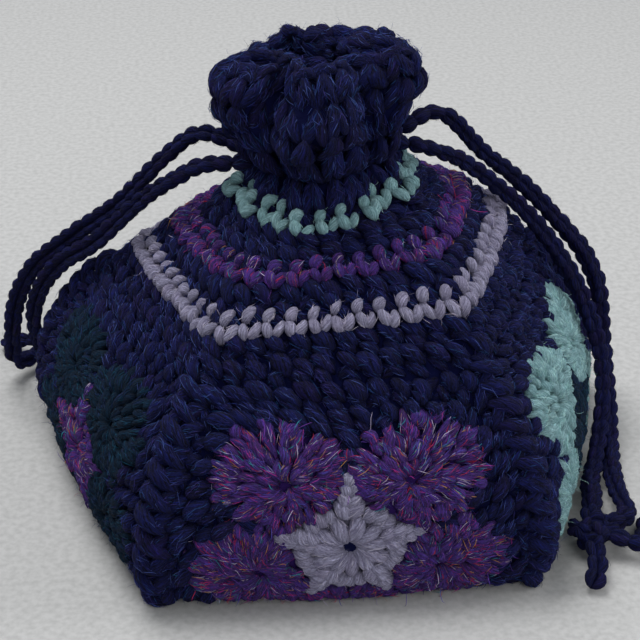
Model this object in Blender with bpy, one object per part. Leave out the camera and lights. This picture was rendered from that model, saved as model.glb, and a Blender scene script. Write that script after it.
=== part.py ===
"""Crocheted drawstring bag with five flower panels, drawn shut and standing.

Every fabric piece is laid out on the skin of the bag.  The skin is one
profile carried round five rounded sides, and a place on it is given by a
turn (the angle round the bag, 0 at the front) and a run (the distance along
the profile, 0 at the fold where a panel turns under the bag).  Units are
metres, +Z is up, the front faces -Y and the ground is z = 0.
"""
import math

import bmesh
import bpy
import numpy as np

# Panels: one regular pentagon of crochet on each side, flat edge up.
SIDES = 5
PANEL_EDGE = 0.076
FABRIC = 0.006
SEAM_GAP = 0.0003
BASE_GAP = 0.0004
CENTRE_REACH = 0.018
CENTRE_POINTS = 0.0038
PETAL_REACH = 0.0475
PETAL_NOTCH = 0.0285
PETAL_PUFF = 0.0018
BORDER_ROWS = 3
ROW_RIDGE = 0.0011
SEAM_RIDGE = 0.0016

# Rounds above the panels, from the panels' top edge up to the frill.
LOWER_BAND = 0.014
LILAC_BAND = 0.007
MIDDLE_BAND = 0.010
PURPLE_BAND = 0.007
UPPER_BAND = 0.012
MINT_BAND = 0.006
NECK_RISE = 0.009
NECK_ROWS = 1
FRILL_ROWS = 4

# Profile: half-widths across the flats, and the heights they are found at.
# Below the widest place each half-width is that one less an inset.
WIDEST_HALF, WIDEST_LEVEL = 0.0880, 0.0155
FLAT_INSET = 0.028
FOOT_INSET = 0.014
FOLD_INSET, FOLD_LEVEL = 0.0065, 0.0012
HEEL_INSET, HEEL_LEVEL = 0.0018, 0.0065
FLATTEN_BEFORE = 0.010
WAIST_HALF, WAIST_LEVEL = 0.0862, 0.031
CHEST_HALF, CHEST_LEVEL = 0.0797, 0.048
PANEL_TOP_HALF, PANEL_TOP_LEVEL = 0.0693, 0.063
LOW_SHOULDER_HALF, LOW_SHOULDER_LEVEL = 0.0600, 0.0752
SHOULDER_HALF, SHOULDER_LEVEL = 0.0528, 0.0845
HIGH_SHOULDER_HALF, HIGH_SHOULDER_LEVEL = 0.0442, 0.0925
GATHER_HALF, GATHER_LEVEL = 0.0345, 0.0992
THROAT_HALF, THROAT_LEVEL = 0.0270, 0.1055
COLLAR_HALF, COLLAR_LEVEL = 0.0225, 0.112
NECK_HALF, NECK_LEVEL = 0.0210, 0.118
FLARE_HALF, FLARE_LEVEL = 0.0236, 0.1255
FRILL_HALF, FRILL_LEVEL = 0.0258, 0.1340
CROWN_HALF, CROWN_LEVEL = 0.0248, 0.1440
RIM_HALF, RIM_LEVEL = 0.0214, 0.1510

# Gathers: the folds deepen from the shoulder to the frill's rim.
GATHERS = 10
GATHER_TURN = math.radians(18)
GATHER_DEPTH = 0.0030
RIM_WAVE = 0.0030
RUFFLES = 5
RUFFLE_DEPTH = 0.0055
MOUTH_SQUEEZE_SHARE = 0.15
FRONT_FOLD = 0.0070
FRONT_FOLD_SPREAD = math.radians(13)
FRONT_FOLD_FADE = 0.010
NECK_FILL = 0.0075
NECK_FILL_REACH = 0.009
INNER_FOLD_SHARE = 0.4

# The neck stands a little askew: up to the right, down at the front.
LEAN_FROM, LEAN_OVER = 0.055, 0.035
LEAN_RIGHT_SHARE = 0.10
LEAN_BACK_SHARE = -0.05
SWAY, SWAY_OVER = 0.0025, 0.030

# Drawstrings: chain cords that leave the neck in pairs.
CORD_RADIUS = 0.00275
CORD_STEP = 0.0125
KNOT_RADIUS = 0.0072
KNOT_LOBE_SHARE = 0.12
KNOT_GAP = 0.0005
EXIT_REACH = 0.004

PANEL_STEPS = 30
RING_STEPS = 40

HALF_SIDE = math.pi / SIDES
TAN_HALF = math.tan(HALF_SIDE)
ROUND_GAIN = SIDES * TAN_HALF / math.pi
PANEL_INRADIUS = PANEL_EDGE / (2 * TAN_HALF)
PANEL_SHOULDER = PANEL_EDGE * math.sin(2 * HALF_SIDE)
PANEL_HALF_WIDTH = PANEL_EDGE * math.cos(HALF_SIDE)
SPLAY = PANEL_HALF_WIDTH / PANEL_SHOULDER - PANEL_EDGE / 2 / PANEL_SHOULDER

# Half-width, height and roundness (0 flat sides, 1 a circle) up the bag.
PROFILE = (
    (0.0, 0.0, 0.15),
    (WIDEST_HALF - FLAT_INSET, 0.0, 0.15),
    (WIDEST_HALF - FOOT_INSET, 0.0, 0.15),
    (WIDEST_HALF - FOLD_INSET, FOLD_LEVEL, 0.20),
    (WIDEST_HALF - HEEL_INSET, HEEL_LEVEL, 0.20),
    (WIDEST_HALF, WIDEST_LEVEL, 0.20),
    (WAIST_HALF, WAIST_LEVEL, 0.22),
    (CHEST_HALF, CHEST_LEVEL, 0.22),
    (PANEL_TOP_HALF, PANEL_TOP_LEVEL, 0.22),
    (LOW_SHOULDER_HALF, LOW_SHOULDER_LEVEL, 0.20),
    (SHOULDER_HALF, SHOULDER_LEVEL, 0.22),
    (HIGH_SHOULDER_HALF, HIGH_SHOULDER_LEVEL, 0.35),
    (GATHER_HALF, GATHER_LEVEL, 0.60),
    (THROAT_HALF, THROAT_LEVEL, 0.90),
    (COLLAR_HALF, COLLAR_LEVEL, 1.0),
    (NECK_HALF, NECK_LEVEL, 1.0),
    (FLARE_HALF, FLARE_LEVEL, 1.0),
    (FRILL_HALF, FRILL_LEVEL, 1.0),
    (CROWN_HALF, CROWN_LEVEL, 1.0),
    (RIM_HALF, RIM_LEVEL, 1.0),
)

SIDE_NAMES = ("front", "right", "rear_right", "rear_left", "left")

COLOURS = {
    "navy": (0.016, 0.020, 0.085),
    "lilac": (0.33, 0.29, 0.44),
    "mint": (0.22, 0.45, 0.42),
    "teal": (0.010, 0.070, 0.110),
    "purple": (0.12, 0.025, 0.20),
}
PETAL_COLOURS = ("purple", "mint", "purple", "mint", "teal")
CENTRE_COLOURS = ("lilac", "teal", "lilac", "teal", "purple")


def smooth_curve(points, steps):
    """Points along a Catmull-Rom curve through the given points."""
    known = np.array(points, dtype=float)
    first = 2 * known[0] - known[1]
    last = 2 * known[-1] - known[-2]
    known = np.vstack([first, known, last])
    share = np.linspace(0.0, 1.0, steps, endpoint=False)[:, None]
    pieces = []
    for a, b, c, d in zip(known, known[1:], known[2:], known[3:]):
        pieces.append(0.5 * (2 * b + (c - a) * share
                             + (2 * a - 5 * b + 4 * c - d) * share ** 2
                             + (3 * b - a - 3 * c + d) * share ** 3))
    pieces.append(known[-2][None])
    return np.vstack(pieces)


def distance_along(curve):
    """Running distance along a row of points."""
    gaps = np.linalg.norm(np.diff(curve, axis=0), axis=1)
    return np.concatenate([[0.0], np.cumsum(gaps)])


CURVE = smooth_curve(PROFILE, 24)
CURVE[:, 1] = np.maximum(CURVE[:, 1], 0.0)
RUNS = distance_along(CURVE[:, :2])
FOLD_AT = np.argmax(CURVE[:, 1] > (FOLD_LEVEL + HEEL_LEVEL) / 2)
RUNS = RUNS - RUNS[FOLD_AT]
SLOPES = np.gradient(CURVE[:, :2], RUNS + np.arange(len(RUNS)) * 1e-9, axis=0)

PANEL_RUN = PANEL_SHOULDER
LILAC_RUN = PANEL_RUN + LOWER_BAND
MIDDLE_RUN = LILAC_RUN + LILAC_BAND
PURPLE_RUN = MIDDLE_RUN + MIDDLE_BAND
UPPER_RUN = PURPLE_RUN + PURPLE_BAND
MINT_RUN = UPPER_RUN + UPPER_BAND
FRILL_RUN = MINT_RUN + MINT_BAND
NECK_RUN = FRILL_RUN + NECK_RISE
RIM_RUN = float(RUNS[-1])


def ease(value, start, over):
    """0 before start, 1 past start + over, and smooth between."""
    share = np.clip((value - start) / over, 0.0, 1.0)
    return share * share * (3 - 2 * share)


def fold_size(turn, level):
    """How far the gathers push the skin out, by turn and height."""
    stations = (SHOULDER_LEVEL, HIGH_SHOULDER_LEVEL, THROAT_LEVEL,
                COLLAR_LEVEL, FLARE_LEVEL, RIM_LEVEL)
    depths = (0.0, 0.2 * GATHER_DEPTH, 0.8 * GATHER_DEPTH,
              GATHER_DEPTH, GATHER_DEPTH, RIM_WAVE)
    depth = np.interp(level, stations, depths)
    waves = 0.75 * np.cos(GATHERS * (turn - GATHER_TURN))
    waves = waves + 0.4 * np.cos(SIDES * turn + 1.0)
    near = (turn + math.pi) % (2 * math.pi) - math.pi
    front = FRONT_FOLD * np.exp(-(near / FRONT_FOLD_SPREAD) ** 2)
    front = front * ease(level, THROAT_LEVEL, COLLAR_LEVEL - THROAT_LEVEL)
    front = front * (1 - 0.6 * ease(level, FRILL_LEVEL, FRONT_FOLD_FADE))
    ruffle = RUFFLE_DEPTH * np.cos(RUFFLES * turn)
    ruffle = ruffle * ease(level, NECK_LEVEL, CROWN_LEVEL - NECK_LEVEL)
    return depth * waves + front + ruffle


def skin(turn, run, depth=0.0):
    """Point of the bag at a turn and a run, set in by a depth."""
    turn, run, depth = np.broadcast_arrays(
        np.asarray(turn, float), np.asarray(run, float),
        np.asarray(depth, float))
    half = np.interp(run, RUNS, CURVE[:, 0])
    level = np.interp(run, RUNS, CURVE[:, 1])
    roundness = np.interp(run, RUNS, CURVE[:, 2])
    out_slope = np.interp(run, RUNS, SLOPES[:, 0])
    up_slope = np.interp(run, RUNS, SLOPES[:, 1])
    size = np.maximum(np.hypot(out_slope, up_slope), 1e-9)
    off = (turn + HALF_SIDE) % (2 * HALF_SIDE) - HALF_SIDE
    reach = half * ((1 - roundness) / np.cos(off) + roundness * ROUND_GAIN)
    inner = np.clip(depth / FABRIC, 0.0, 1.0)
    near_neck = np.exp(-((run - NECK_RUN) / NECK_FILL_REACH) ** 2)
    pressed = ease(run, -FLATTEN_BEFORE, FLATTEN_BEFORE)
    depth = np.where(depth < 0, depth * pressed, depth)
    share = 1 - inner * (1 - INNER_FOLD_SHARE) * near_neck
    reach = reach + share * fold_size(turn, level)
    depth = depth + inner * NECK_FILL * near_neck
    reach = reach - depth * up_slope / size
    level = level + depth * out_slope / size
    across = reach * np.sin(turn)
    squeeze = ease(level, NECK_LEVEL, RIM_LEVEL - NECK_LEVEL)
    back = -reach * np.cos(turn) * (1 - MOUTH_SQUEEZE_SHARE * squeeze)
    askew = ease(level, LEAN_FROM, LEAN_OVER)
    level = level + askew * (LEAN_RIGHT_SHARE * across
                             + LEAN_BACK_SHARE * back)
    across = across - SWAY * ease(level, THROAT_LEVEL, SWAY_OVER)
    return np.stack([across, back, level], axis=-1)


def panel_point(side, x, y, depth=0.0):
    """Point of a panel drawn flat, measured from its flower's middle."""
    run = PANEL_RUN - PANEL_INRADIUS + y
    drop = PANEL_RUN - run
    half_now = np.interp(run, RUNS, CURVE[:, 0])
    half_fold = np.interp(0.0, RUNS, CURVE[:, 0])
    wide = np.where(run >= 0, PANEL_EDGE / 2 + drop * SPLAY,
                    PANEL_HALF_WIDTH * half_now / half_fold)
    turn = np.arctan(TAN_HALF * x / wide) + side * 2 * HALF_SIDE
    return skin(turn, run, depth)


def edge_radius(angle, inset):
    """Distance from the flower's middle to the pentagon's edge."""
    off = (angle - math.pi / 2 + HALF_SIDE) % (2 * HALF_SIDE) - HALF_SIDE
    return (PANEL_INRADIUS - inset) / np.cos(off)


def petal_radius(angle):
    """Outline of the five petals, one towards each corner."""
    wave = np.abs(np.sin(SIDES / 2 * (angle - math.pi / 2))) ** 0.7
    return PETAL_NOTCH + (PETAL_REACH - PETAL_NOTCH) * wave


def centre_radius(angle):
    """Outline of the flower's middle, a point between each two petals."""
    return CENTRE_REACH + CENTRE_POINTS * np.cos(
        SIDES * (angle - math.pi / 2))


def collection():
    """The bag's own collection, made once."""
    name = "crocheted_drawstring_bag"
    found = bpy.data.collections.get(name)
    if found is None:
        found = bpy.data.collections.new(name)
        bpy.context.scene.collection.children.link(found)
    return found


def yarn(colour):
    """Matt wool in one of the bag's colours."""
    name = "yarn_" + colour
    made = bpy.data.materials.get(name)
    if made is None:
        made = bpy.data.materials.new(name)
        made.use_nodes = True
        shader = made.node_tree.nodes["Principled BSDF"]
        shader.inputs["Base Color"].default_value = (*COLOURS[colour], 1)
        shader.inputs["Roughness"].default_value = 0.92
        shader.inputs["Metallic"].default_value = 0.0
    return made


def add_object(name, data, colour):
    """Put a mesh or a curve in the scene under its piece's name."""
    data.materials.append(yarn(colour))
    piece = bpy.data.objects.new(name, data)
    collection().objects.link(piece)
    return piece


def finish_mesh(name, bm, colour):
    """Turn a closed bmesh into a smooth-shaded piece."""
    bmesh.ops.recalc_face_normals(bm, faces=bm.faces)
    mesh = bpy.data.meshes.new(name)
    bm.to_mesh(mesh)
    bm.free()
    mesh.shade_smooth()
    mesh.set_sharp_from_angle(angle=math.radians(40))
    return add_object(name, mesh, colour)


def add_wall(bm, outer, inner, outer_next, inner_next):
    """One step of a wall, always cut the same way so that walls nest."""
    bm.faces.new((outer, inner, inner_next))
    bm.faces.new((outer, inner_next, outer_next))


def loft_ring(name, outer, inner, colour):
    """Closed ring of fabric: outer skin, far wall, inner skin, near wall."""
    bm = bmesh.new()
    sections = np.stack(list(outer) + list(inner), axis=1)
    rows = [[bm.verts.new(p) for p in section] for section in sections]
    far = len(outer) - 1
    for row, after in zip(rows, rows[1:] + rows[:1]):
        for k in range(len(row) - 1):
            if k != far:
                bm.faces.new((row[k], row[k + 1], after[k + 1], after[k]))
        add_wall(bm, row[far], row[far + 1], after[far], after[far + 1])
        add_wall(bm, row[0], row[-1], after[0], after[-1])
    return finish_mesh(name, bm, colour)


def loft_disc(name, outer, inner, colour):
    """Closed round patch: skins from their middles out, and a rim."""
    bm = bmesh.new()
    skins = []
    for middle, rings in (outer, inner):
        hub = bm.verts.new(middle)
        rows = [[bm.verts.new(p) for p in ring] for ring in rings]
        for k in range(len(rows[0])):
            n = (k + 1) % len(rows[0])
            bm.faces.new((hub, rows[0][k], rows[0][n]))
            for row, after in zip(rows, rows[1:]):
                bm.faces.new((row[k], after[k], after[n], row[n]))
        skins.append(rows[-1])
    for k in range(len(skins[0])):
        n = (k + 1) % len(skins[0])
        add_wall(bm, skins[0][k], skins[1][k], skins[0][n], skins[1][n])
    return finish_mesh(name, bm, colour)


def panel_angles():
    """Angles round a flower, with each corner and each notch among them."""
    return math.pi / 2 + np.arange(PANEL_STEPS) * 2 * math.pi / PANEL_STEPS


def patch_rings(side, angles, radii, depths):
    """Rings of points of a panel, for radii and depths from the middle."""
    return [panel_point(side, radius * np.cos(angles),
                        radius * np.sin(angles), depth)
            for radius, depth in zip(radii, depths)]


def make_panel(side):
    """Border, petals and flower centre of one panel."""
    name = SIDE_NAMES[side]
    angles = panel_angles()
    lobes = np.abs(np.sin(SIDES / 2 * (angles - math.pi / 2)))
    middle = centre_radius(angles)
    petals = petal_radius(angles)
    edge = edge_radius(angles, SEAM_GAP / 2)

    steps = 2 * BORDER_ROWS
    radii, depths = [], []
    start = petals + SEAM_GAP
    for k in range(steps + 1):
        share = k / steps
        ridge = ROW_RIDGE * (k % 2)
        if k == steps:
            ridge = SEAM_RIDGE
        radii.append(start + share * (edge - start))
        depths.append(-ridge)
    back = [start + share * (edge - start) for share in (1.0, 0.5, 0.0)]
    loft_ring(name + "_panel_border",
              patch_rings(side, angles, radii, depths),
              patch_rings(side, angles, back, [FABRIC] * len(back)), "navy")

    start = middle + SEAM_GAP
    radii, depths = [], []
    for share, puff in ((0.0, 0.2), (0.3, 0.9), (0.72, 1.0), (1.0, 0.1)):
        radii.append(start + share * (petals - start))
        depths.append(-PETAL_PUFF * puff * (0.35 + 0.65 * lobes))
    back = [start + share * (petals - start) for share in (1.0, 0.5, 0.0)]
    loft_ring(name + "_panel_petals",
              patch_rings(side, angles, radii, depths),
              patch_rings(side, angles, back, [FABRIC] * len(back)),
              PETAL_COLOURS[side])

    zero = np.zeros(1)
    outer = (panel_point(side, zero, zero, zero)[0],
             patch_rings(side, angles, (0.45 * middle, middle),
                         (-0.6 * PETAL_PUFF, 0.0)))
    inner = (panel_point(side, zero, zero, zero + FABRIC)[0],
             patch_rings(side, angles, (middle,), (FABRIC,)))
    loft_disc(name + "_panel_flower_centre", outer, inner,
              CENTRE_COLOURS[side])


def make_base():
    """Five-pointed star that joins the panels' turned-under corners."""
    lower = panel_angles()
    lower = lower[(lower > math.pi + HALF_SIDE / 2 - 1e-6)
                  & (lower < 2 * math.pi - HALF_SIDE / 2 + 1e-6)]
    outline_outer, outline_inner = [], []
    tip_back = BASE_GAP / math.sin(HALF_SIDE / 2)
    for side in range(SIDES):
        for k, angle in enumerate(lower[:-1]):
            if k == 0:
                turn = side * 2 * HALF_SIDE - HALF_SIDE
                outline_outer.append(skin(turn, -tip_back, 0.0))
                outline_inner.append(skin(turn, -tip_back, FABRIC))
                continue
            radius = edge_radius(angle, -BASE_GAP)
            x, y = radius * math.cos(angle), radius * math.sin(angle)
            outline_outer.append(panel_point(side, x, y, 0.0))
            outline_inner.append(panel_point(side, x, y, FABRIC))
    outer, inner = np.array(outline_outer), np.array(outline_inner)
    flat = outer * (0.8, 0.8, 0.0)
    raised = inner * (0.8, 0.8, 0.0) + (0.0, 0.0, FABRIC)
    loft_disc("base_star", ((0.0, 0.0, 0.0), (flat, outer)),
              ((0.0, 0.0, FABRIC), (raised, inner)), "navy")


def make_band(name, start, end, rows, colour, inner_steps=1):
    """Rounds of stitches between two runs, ridged along each round."""
    turns = (np.arange(RING_STEPS) * 2 * math.pi / RING_STEPS) - HALF_SIDE
    start, end = start + SEAM_GAP / 2, end - SEAM_GAP / 2
    outer = []
    for k in range(2 * rows + 1):
        run = start + (end - start) * k / (2 * rows)
        outer.append(skin(turns, run, -ROW_RIDGE * (k % 2)))
    inner = []
    for k in range(inner_steps + 1):
        run = end - (end - start) * k / inner_steps
        inner.append(skin(turns, run, FABRIC))
    loft_ring(name, outer, inner, colour)


def make_upper():
    """Shoulder rounds with their three stripes, then neck and frill."""
    make_band("shoulder_lower_rounds", PANEL_RUN, LILAC_RUN, 2, "navy")
    make_band("lilac_stripe_round", LILAC_RUN, MIDDLE_RUN, 1, "lilac")
    make_band("shoulder_middle_rounds", MIDDLE_RUN, PURPLE_RUN, 1, "navy")
    make_band("purple_stripe_round", PURPLE_RUN, UPPER_RUN, 1, "purple")
    make_band("shoulder_upper_rounds", UPPER_RUN, MINT_RUN, 2, "navy")
    make_band("mint_stripe_round", MINT_RUN, FRILL_RUN, 1, "mint")
    make_band("gathered_neck_rounds", FRILL_RUN, NECK_RUN, NECK_ROWS,
              "navy", inner_steps=2)
    make_band("open_frill", NECK_RUN, RIM_RUN + SEAM_GAP / 2, FRILL_ROWS,
              "navy", inner_steps=4)


def neck_exit(turn):
    """Where a cord comes out of the neck, just clear of its folds."""
    turns = turn + np.radians(np.linspace(-9, 9, 13))[:, None]
    runs = NECK_RUN + np.linspace(-EXIT_REACH, EXIT_REACH, 9)[None, :]
    near = skin(turns, runs, -ROW_RIDGE)
    middle = skin(turn, NECK_RUN)
    ways = near - (-SWAY * 0.5, 0.0, 0.0)
    reach = np.hypot(ways[..., 0], ways[..., 1]).max() + SEAM_GAP
    return (reach * math.sin(turn) - SWAY * 0.5, -reach * math.cos(turn),
            float(middle[2]))


def make_cord(name, route):
    """Chain cord as a round tube through its route's points."""
    curve = smooth_curve(route, 16)
    along = distance_along(curve)
    count = max(3, int(round(along[-1] / CORD_STEP)) + 1)
    spots = np.linspace(0.0, along[-1], count)
    points = np.stack([np.interp(spots, along, curve[:, axis])
                       for axis in range(3)], axis=1)
    data = bpy.data.curves.new(name, "CURVE")
    data.dimensions = "3D"
    data.bevel_depth = CORD_RADIUS
    data.bevel_resolution = 2
    data.use_fill_caps = True
    spline = data.splines.new("POLY")
    spline.points.add(count - 1)
    for point, place in zip(spline.points, points):
        point.co = (*place, 1.0)
    return add_object(name, data, "navy")


def make_knot(name, place):
    """Overhand knot: a lobed lump where two cords are tied together."""
    bm = bmesh.new()
    bmesh.ops.create_uvsphere(bm, u_segments=14, v_segments=8,
                              radius=KNOT_RADIUS)
    for vert in bm.verts:
        x, y, z = vert.co
        around = math.atan2(y, x)
        swell = 1 + KNOT_LOBE_SHARE * math.sin(3 * around) * abs(z) / KNOT_RADIUS
        vert.co = (place[0] + x * swell, place[1] + y * swell, place[2] + z)
    return finish_mesh(name, bm, "navy")


def knot_side(place, degrees, away=0.0, lift=0.0):
    """Where a cord meets a knot, or a point straight out from there."""
    way = math.radians(degrees)
    reach = KNOT_RADIUS + KNOT_GAP + away
    return (place[0] + reach * math.cos(way),
            place[1] + reach * math.sin(way), place[2] + lift)


LEFT_KNOT = (-0.0980, 0.0720, KNOT_RADIUS)
RIGHT_KNOT = (0.0813, -0.0664, KNOT_RADIUS)
CORD_ROUTES = {
    "drawstring_left_outer": (
        neck_exit(math.radians(-113)), (-0.0400, 0.0150, 0.1175),
        (-0.0518, 0.0200, 0.1070), (-0.0685, 0.0260, 0.0875),
        (-0.0860, 0.0330, 0.0722), (-0.1005, 0.0400, 0.0577),
        (-0.1090, 0.0455, 0.0404), (-0.1120, 0.0500, 0.0230),
        knot_side(LEFT_KNOT, 228, 0.014, 0.001), knot_side(LEFT_KNOT, 228)),
    "drawstring_left_inner": (
        neck_exit(math.radians(-86)), (-0.0390, 0.0020, 0.1120),
        (-0.0480, 0.0060, 0.1060), (-0.0609, 0.0140, 0.0935),
        (-0.0765, 0.0200, 0.0765), (-0.0915, 0.0300, 0.0625),
        (-0.1010, 0.0370, 0.0445), (-0.1025, 0.0430, 0.0230),
        knot_side(LEFT_KNOT, 276, 0.014, 0.001), knot_side(LEFT_KNOT, 276)),
    "drawstring_right_outer": (
        neck_exit(math.radians(112)), (0.0400, 0.0160, 0.1220),
        (0.0553, 0.0220, 0.1046), (0.0709, 0.0260, 0.0900),
        (0.0840, 0.0260, 0.0757), (0.0950, 0.0250, 0.0625),
        (0.1010, 0.0240, 0.0500), (0.1030, 0.0215, 0.0372),
        (0.1032, 0.0150, 0.0262), (0.1028, 0.0050, 0.0165),
        (0.1012, -0.0080, 0.0095), (0.0985, -0.0220, 0.0060),
        (0.0970, -0.0360, 0.0055), (0.0962, -0.0470, 0.0065),
        knot_side(RIGHT_KNOT, 27, 0.009, 0.0005), knot_side(RIGHT_KNOT, 27)),
    "drawstring_right_inner": (
        neck_exit(math.radians(86)), (0.0405, 0.0020, 0.1130),
        (0.0505, 0.0080, 0.1045), (0.0655, 0.0110, 0.0905),
        (0.0765, 0.0110, 0.0778), (0.0845, 0.0110, 0.0662),
        (0.0901, 0.0105, 0.0560), (0.0942, 0.0084, 0.0470),
        (0.0975, 0.0043, 0.0370), (0.0985, -0.0023, 0.0270),
        (0.0972, -0.0103, 0.0180), (0.0943, -0.0194, 0.0110),
        (0.0905, -0.0294, 0.0068), (0.0874, -0.0384, 0.0062),
        knot_side(RIGHT_KNOT, 76, 0.012, 0.001), knot_side(RIGHT_KNOT, 76)),
    "drawstring_tail_right_side": (
        knot_side(RIGHT_KNOT, -22), knot_side(RIGHT_KNOT, -22, 0.010, -0.0012),
        (0.1010, -0.0625, 0.0030), (0.1040, -0.0550, 0.0030)),
    "drawstring_tail_right_front": (
        knot_side(RIGHT_KNOT, -95), knot_side(RIGHT_KNOT, -95, 0.010, -0.0020),
        (0.0765, -0.0890, 0.0030)),
    "drawstring_tail_left_side": (
        knot_side(LEFT_KNOT, 165), knot_side(LEFT_KNOT, 165, 0.010, -0.0025),
        (-0.1195, 0.0815, 0.0030)),
    "drawstring_tail_left_rear": (
        knot_side(LEFT_KNOT, 70), knot_side(LEFT_KNOT, 70, 0.011, -0.0025),
        (-0.0875, 0.0960, 0.0030), (-0.0800, 0.1000, 0.0030)),
}


def main():
    """Clear the scene and build every piece of the bag."""
    for old in list(bpy.data.objects):
        bpy.data.objects.remove(old, do_unlink=True)
    for side in range(SIDES):
        make_panel(side)
    make_base()
    make_upper()
    make_knot("drawstring_knot_right", RIGHT_KNOT)
    make_knot("drawstring_knot_left", LEFT_KNOT)
    for name, route in CORD_ROUTES.items():
        make_cord(name, route)


main()
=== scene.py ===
# %% [markdown]
# # A crocheted drawstring bag, stitch by stitch
#
# The real bag is hooked from very thick yarn, so every stitch can be seen
# and counted.  A bump map on a smooth shell would lose the deep gaps
# between stitches, and a simulation would be far too slow.  This lesson
# works each stitch as two or three short plump strands, placed by numpy on
# the same curved skin that the solid model was lofted from.

# %% Tools and the fixed frame
import math

import bpy
import numpy as np
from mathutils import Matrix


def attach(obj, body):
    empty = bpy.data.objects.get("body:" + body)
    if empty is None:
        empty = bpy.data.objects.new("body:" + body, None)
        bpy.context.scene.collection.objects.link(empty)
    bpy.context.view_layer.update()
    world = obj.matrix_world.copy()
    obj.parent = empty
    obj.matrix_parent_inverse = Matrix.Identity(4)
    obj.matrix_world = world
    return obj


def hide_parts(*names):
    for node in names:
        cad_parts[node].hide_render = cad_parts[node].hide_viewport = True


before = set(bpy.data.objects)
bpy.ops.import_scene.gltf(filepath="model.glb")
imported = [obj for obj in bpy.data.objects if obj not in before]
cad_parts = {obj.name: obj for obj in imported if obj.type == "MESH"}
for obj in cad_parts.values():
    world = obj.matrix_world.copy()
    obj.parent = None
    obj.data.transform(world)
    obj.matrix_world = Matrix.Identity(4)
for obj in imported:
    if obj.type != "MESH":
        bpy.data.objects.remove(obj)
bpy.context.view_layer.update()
rng = np.random.default_rng(7)
print("solid pieces:", len(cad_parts))

# %% [markdown]
# ## Camera
#
# The photograph looks down at the bag from a little over half a metre, from
# slightly left of its front.  A camera is a place, a direction and an angle
# of view, and all three are settled before anything is modelled.

# %% Camera
CAMERA_TARGET = np.array([-0.0015, 0.0, 0.053])
CAMERA_DISTANCE = 0.565
CAMERA_AZIMUTH, CAMERA_ELEVATION = math.radians(-5), math.radians(30)
FIELD_OF_VIEW = math.radians(22)

away = np.array([math.sin(CAMERA_AZIMUTH) * math.cos(CAMERA_ELEVATION),
                 -math.cos(CAMERA_AZIMUTH) * math.cos(CAMERA_ELEVATION),
                 math.sin(CAMERA_ELEVATION)])


def add_object(name, data):
    """Object that holds some data, put into the scene."""
    made = bpy.data.objects.new(name, data)
    bpy.context.scene.collection.objects.link(made)
    return made


def aim_from(thing, target):
    """Turn a camera or lamp so that its back points away from the target."""
    back = thing.location - type(thing.location)(target)
    thing.rotation_mode = "QUATERNION"
    thing.rotation_quaternion = back.to_track_quat("Z", "Y")


lens = bpy.data.cameras.new("photo_camera")
lens.sensor_fit = "HORIZONTAL"
lens.angle = FIELD_OF_VIEW
camera = add_object("photo_camera", lens)
camera.location = CAMERA_TARGET + CAMERA_DISTANCE * away
aim_from(camera, CAMERA_TARGET)
bpy.context.scene.camera = camera
print("camera at", np.round(camera.location, 3))

# %% [markdown]
# ## The bag's skin
#
# The bag is one profile carried round five rounded sides.  A place on it has
# two numbers: a turn, which is the angle round the bag, and a run, which is
# the distance along the profile.  These sizes are the solid model's own, so
# that each stitch lands on the solid that it stands for.

# %% Sizes of the bag
SIDES = 5
PANEL_EDGE = 0.076
FABRIC = 0.006
LOWER_BAND, LILAC_BAND, MIDDLE_BAND = 0.014, 0.007, 0.01
PURPLE_BAND, UPPER_BAND, MINT_BAND = 0.007, 0.012, 0.006
NECK_RISE = 0.009
CENTRE_REACH, CENTRE_POINTS = 0.018, 0.0038
PETAL_REACH, PETAL_NOTCH = 0.0475, 0.0285
FLATTEN_BEFORE = 0.01
GATHERS, GATHER_TURN = 10, math.radians(18)
GATHER_DEPTH, RIM_WAVE = 0.003, 0.003
RUFFLES, RUFFLE_DEPTH, MOUTH_SQUEEZE_SHARE = 5, 0.0055, 0.15
FRONT_FOLD, FRONT_FOLD_SPREAD = 0.007, math.radians(13)
FRONT_FOLD_FADE = 0.01
NECK_FILL, NECK_FILL_REACH, INNER_FOLD_SHARE = 0.0075, 0.009, 0.4
LEAN_FROM, LEAN_OVER = 0.055, 0.035
LEAN_RIGHT_SHARE, LEAN_BACK_SHARE = 0.1, -0.05
SWAY, SWAY_OVER = 0.0025, 0.03
CORD_RADIUS = 0.00275
KNOT_RADIUS, KNOT_GAP = 0.0072, 0.0005

# Half-width, height and roundness (0 flat sides, 1 a circle) up the bag.
PROFILE = np.array([
    (0.0, 0.0, 0.15), (0.06, 0.0, 0.15), (0.074, 0.0, 0.15),
    (0.0815, 0.0012, 0.2), (0.0862, 0.0065, 0.2), (0.088, 0.0155, 0.2),
    (0.0862, 0.031, 0.22), (0.0797, 0.048, 0.22), (0.0693, 0.063, 0.22),
    (0.06, 0.0752, 0.2), (0.0528, 0.0845, 0.22), (0.0442, 0.0925, 0.35),
    (0.0345, 0.0992, 0.6), (0.027, 0.1055, 0.9), (0.0225, 0.112, 1.0),
    (0.021, 0.118, 1.0), (0.0236, 0.1255, 1.0), (0.0258, 0.134, 1.0),
    (0.0248, 0.144, 1.0), (0.0214, 0.151, 1.0)])
SHOULDER_LEVEL, HIGH_SHOULDER_LEVEL, THROAT_LEVEL = 0.0845, 0.0925, 0.1055
COLLAR_LEVEL, NECK_LEVEL, FLARE_LEVEL = 0.112, 0.118, 0.1255
FRILL_LEVEL, CROWN_LEVEL, RIM_LEVEL = 0.134, 0.144, 0.151

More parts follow.
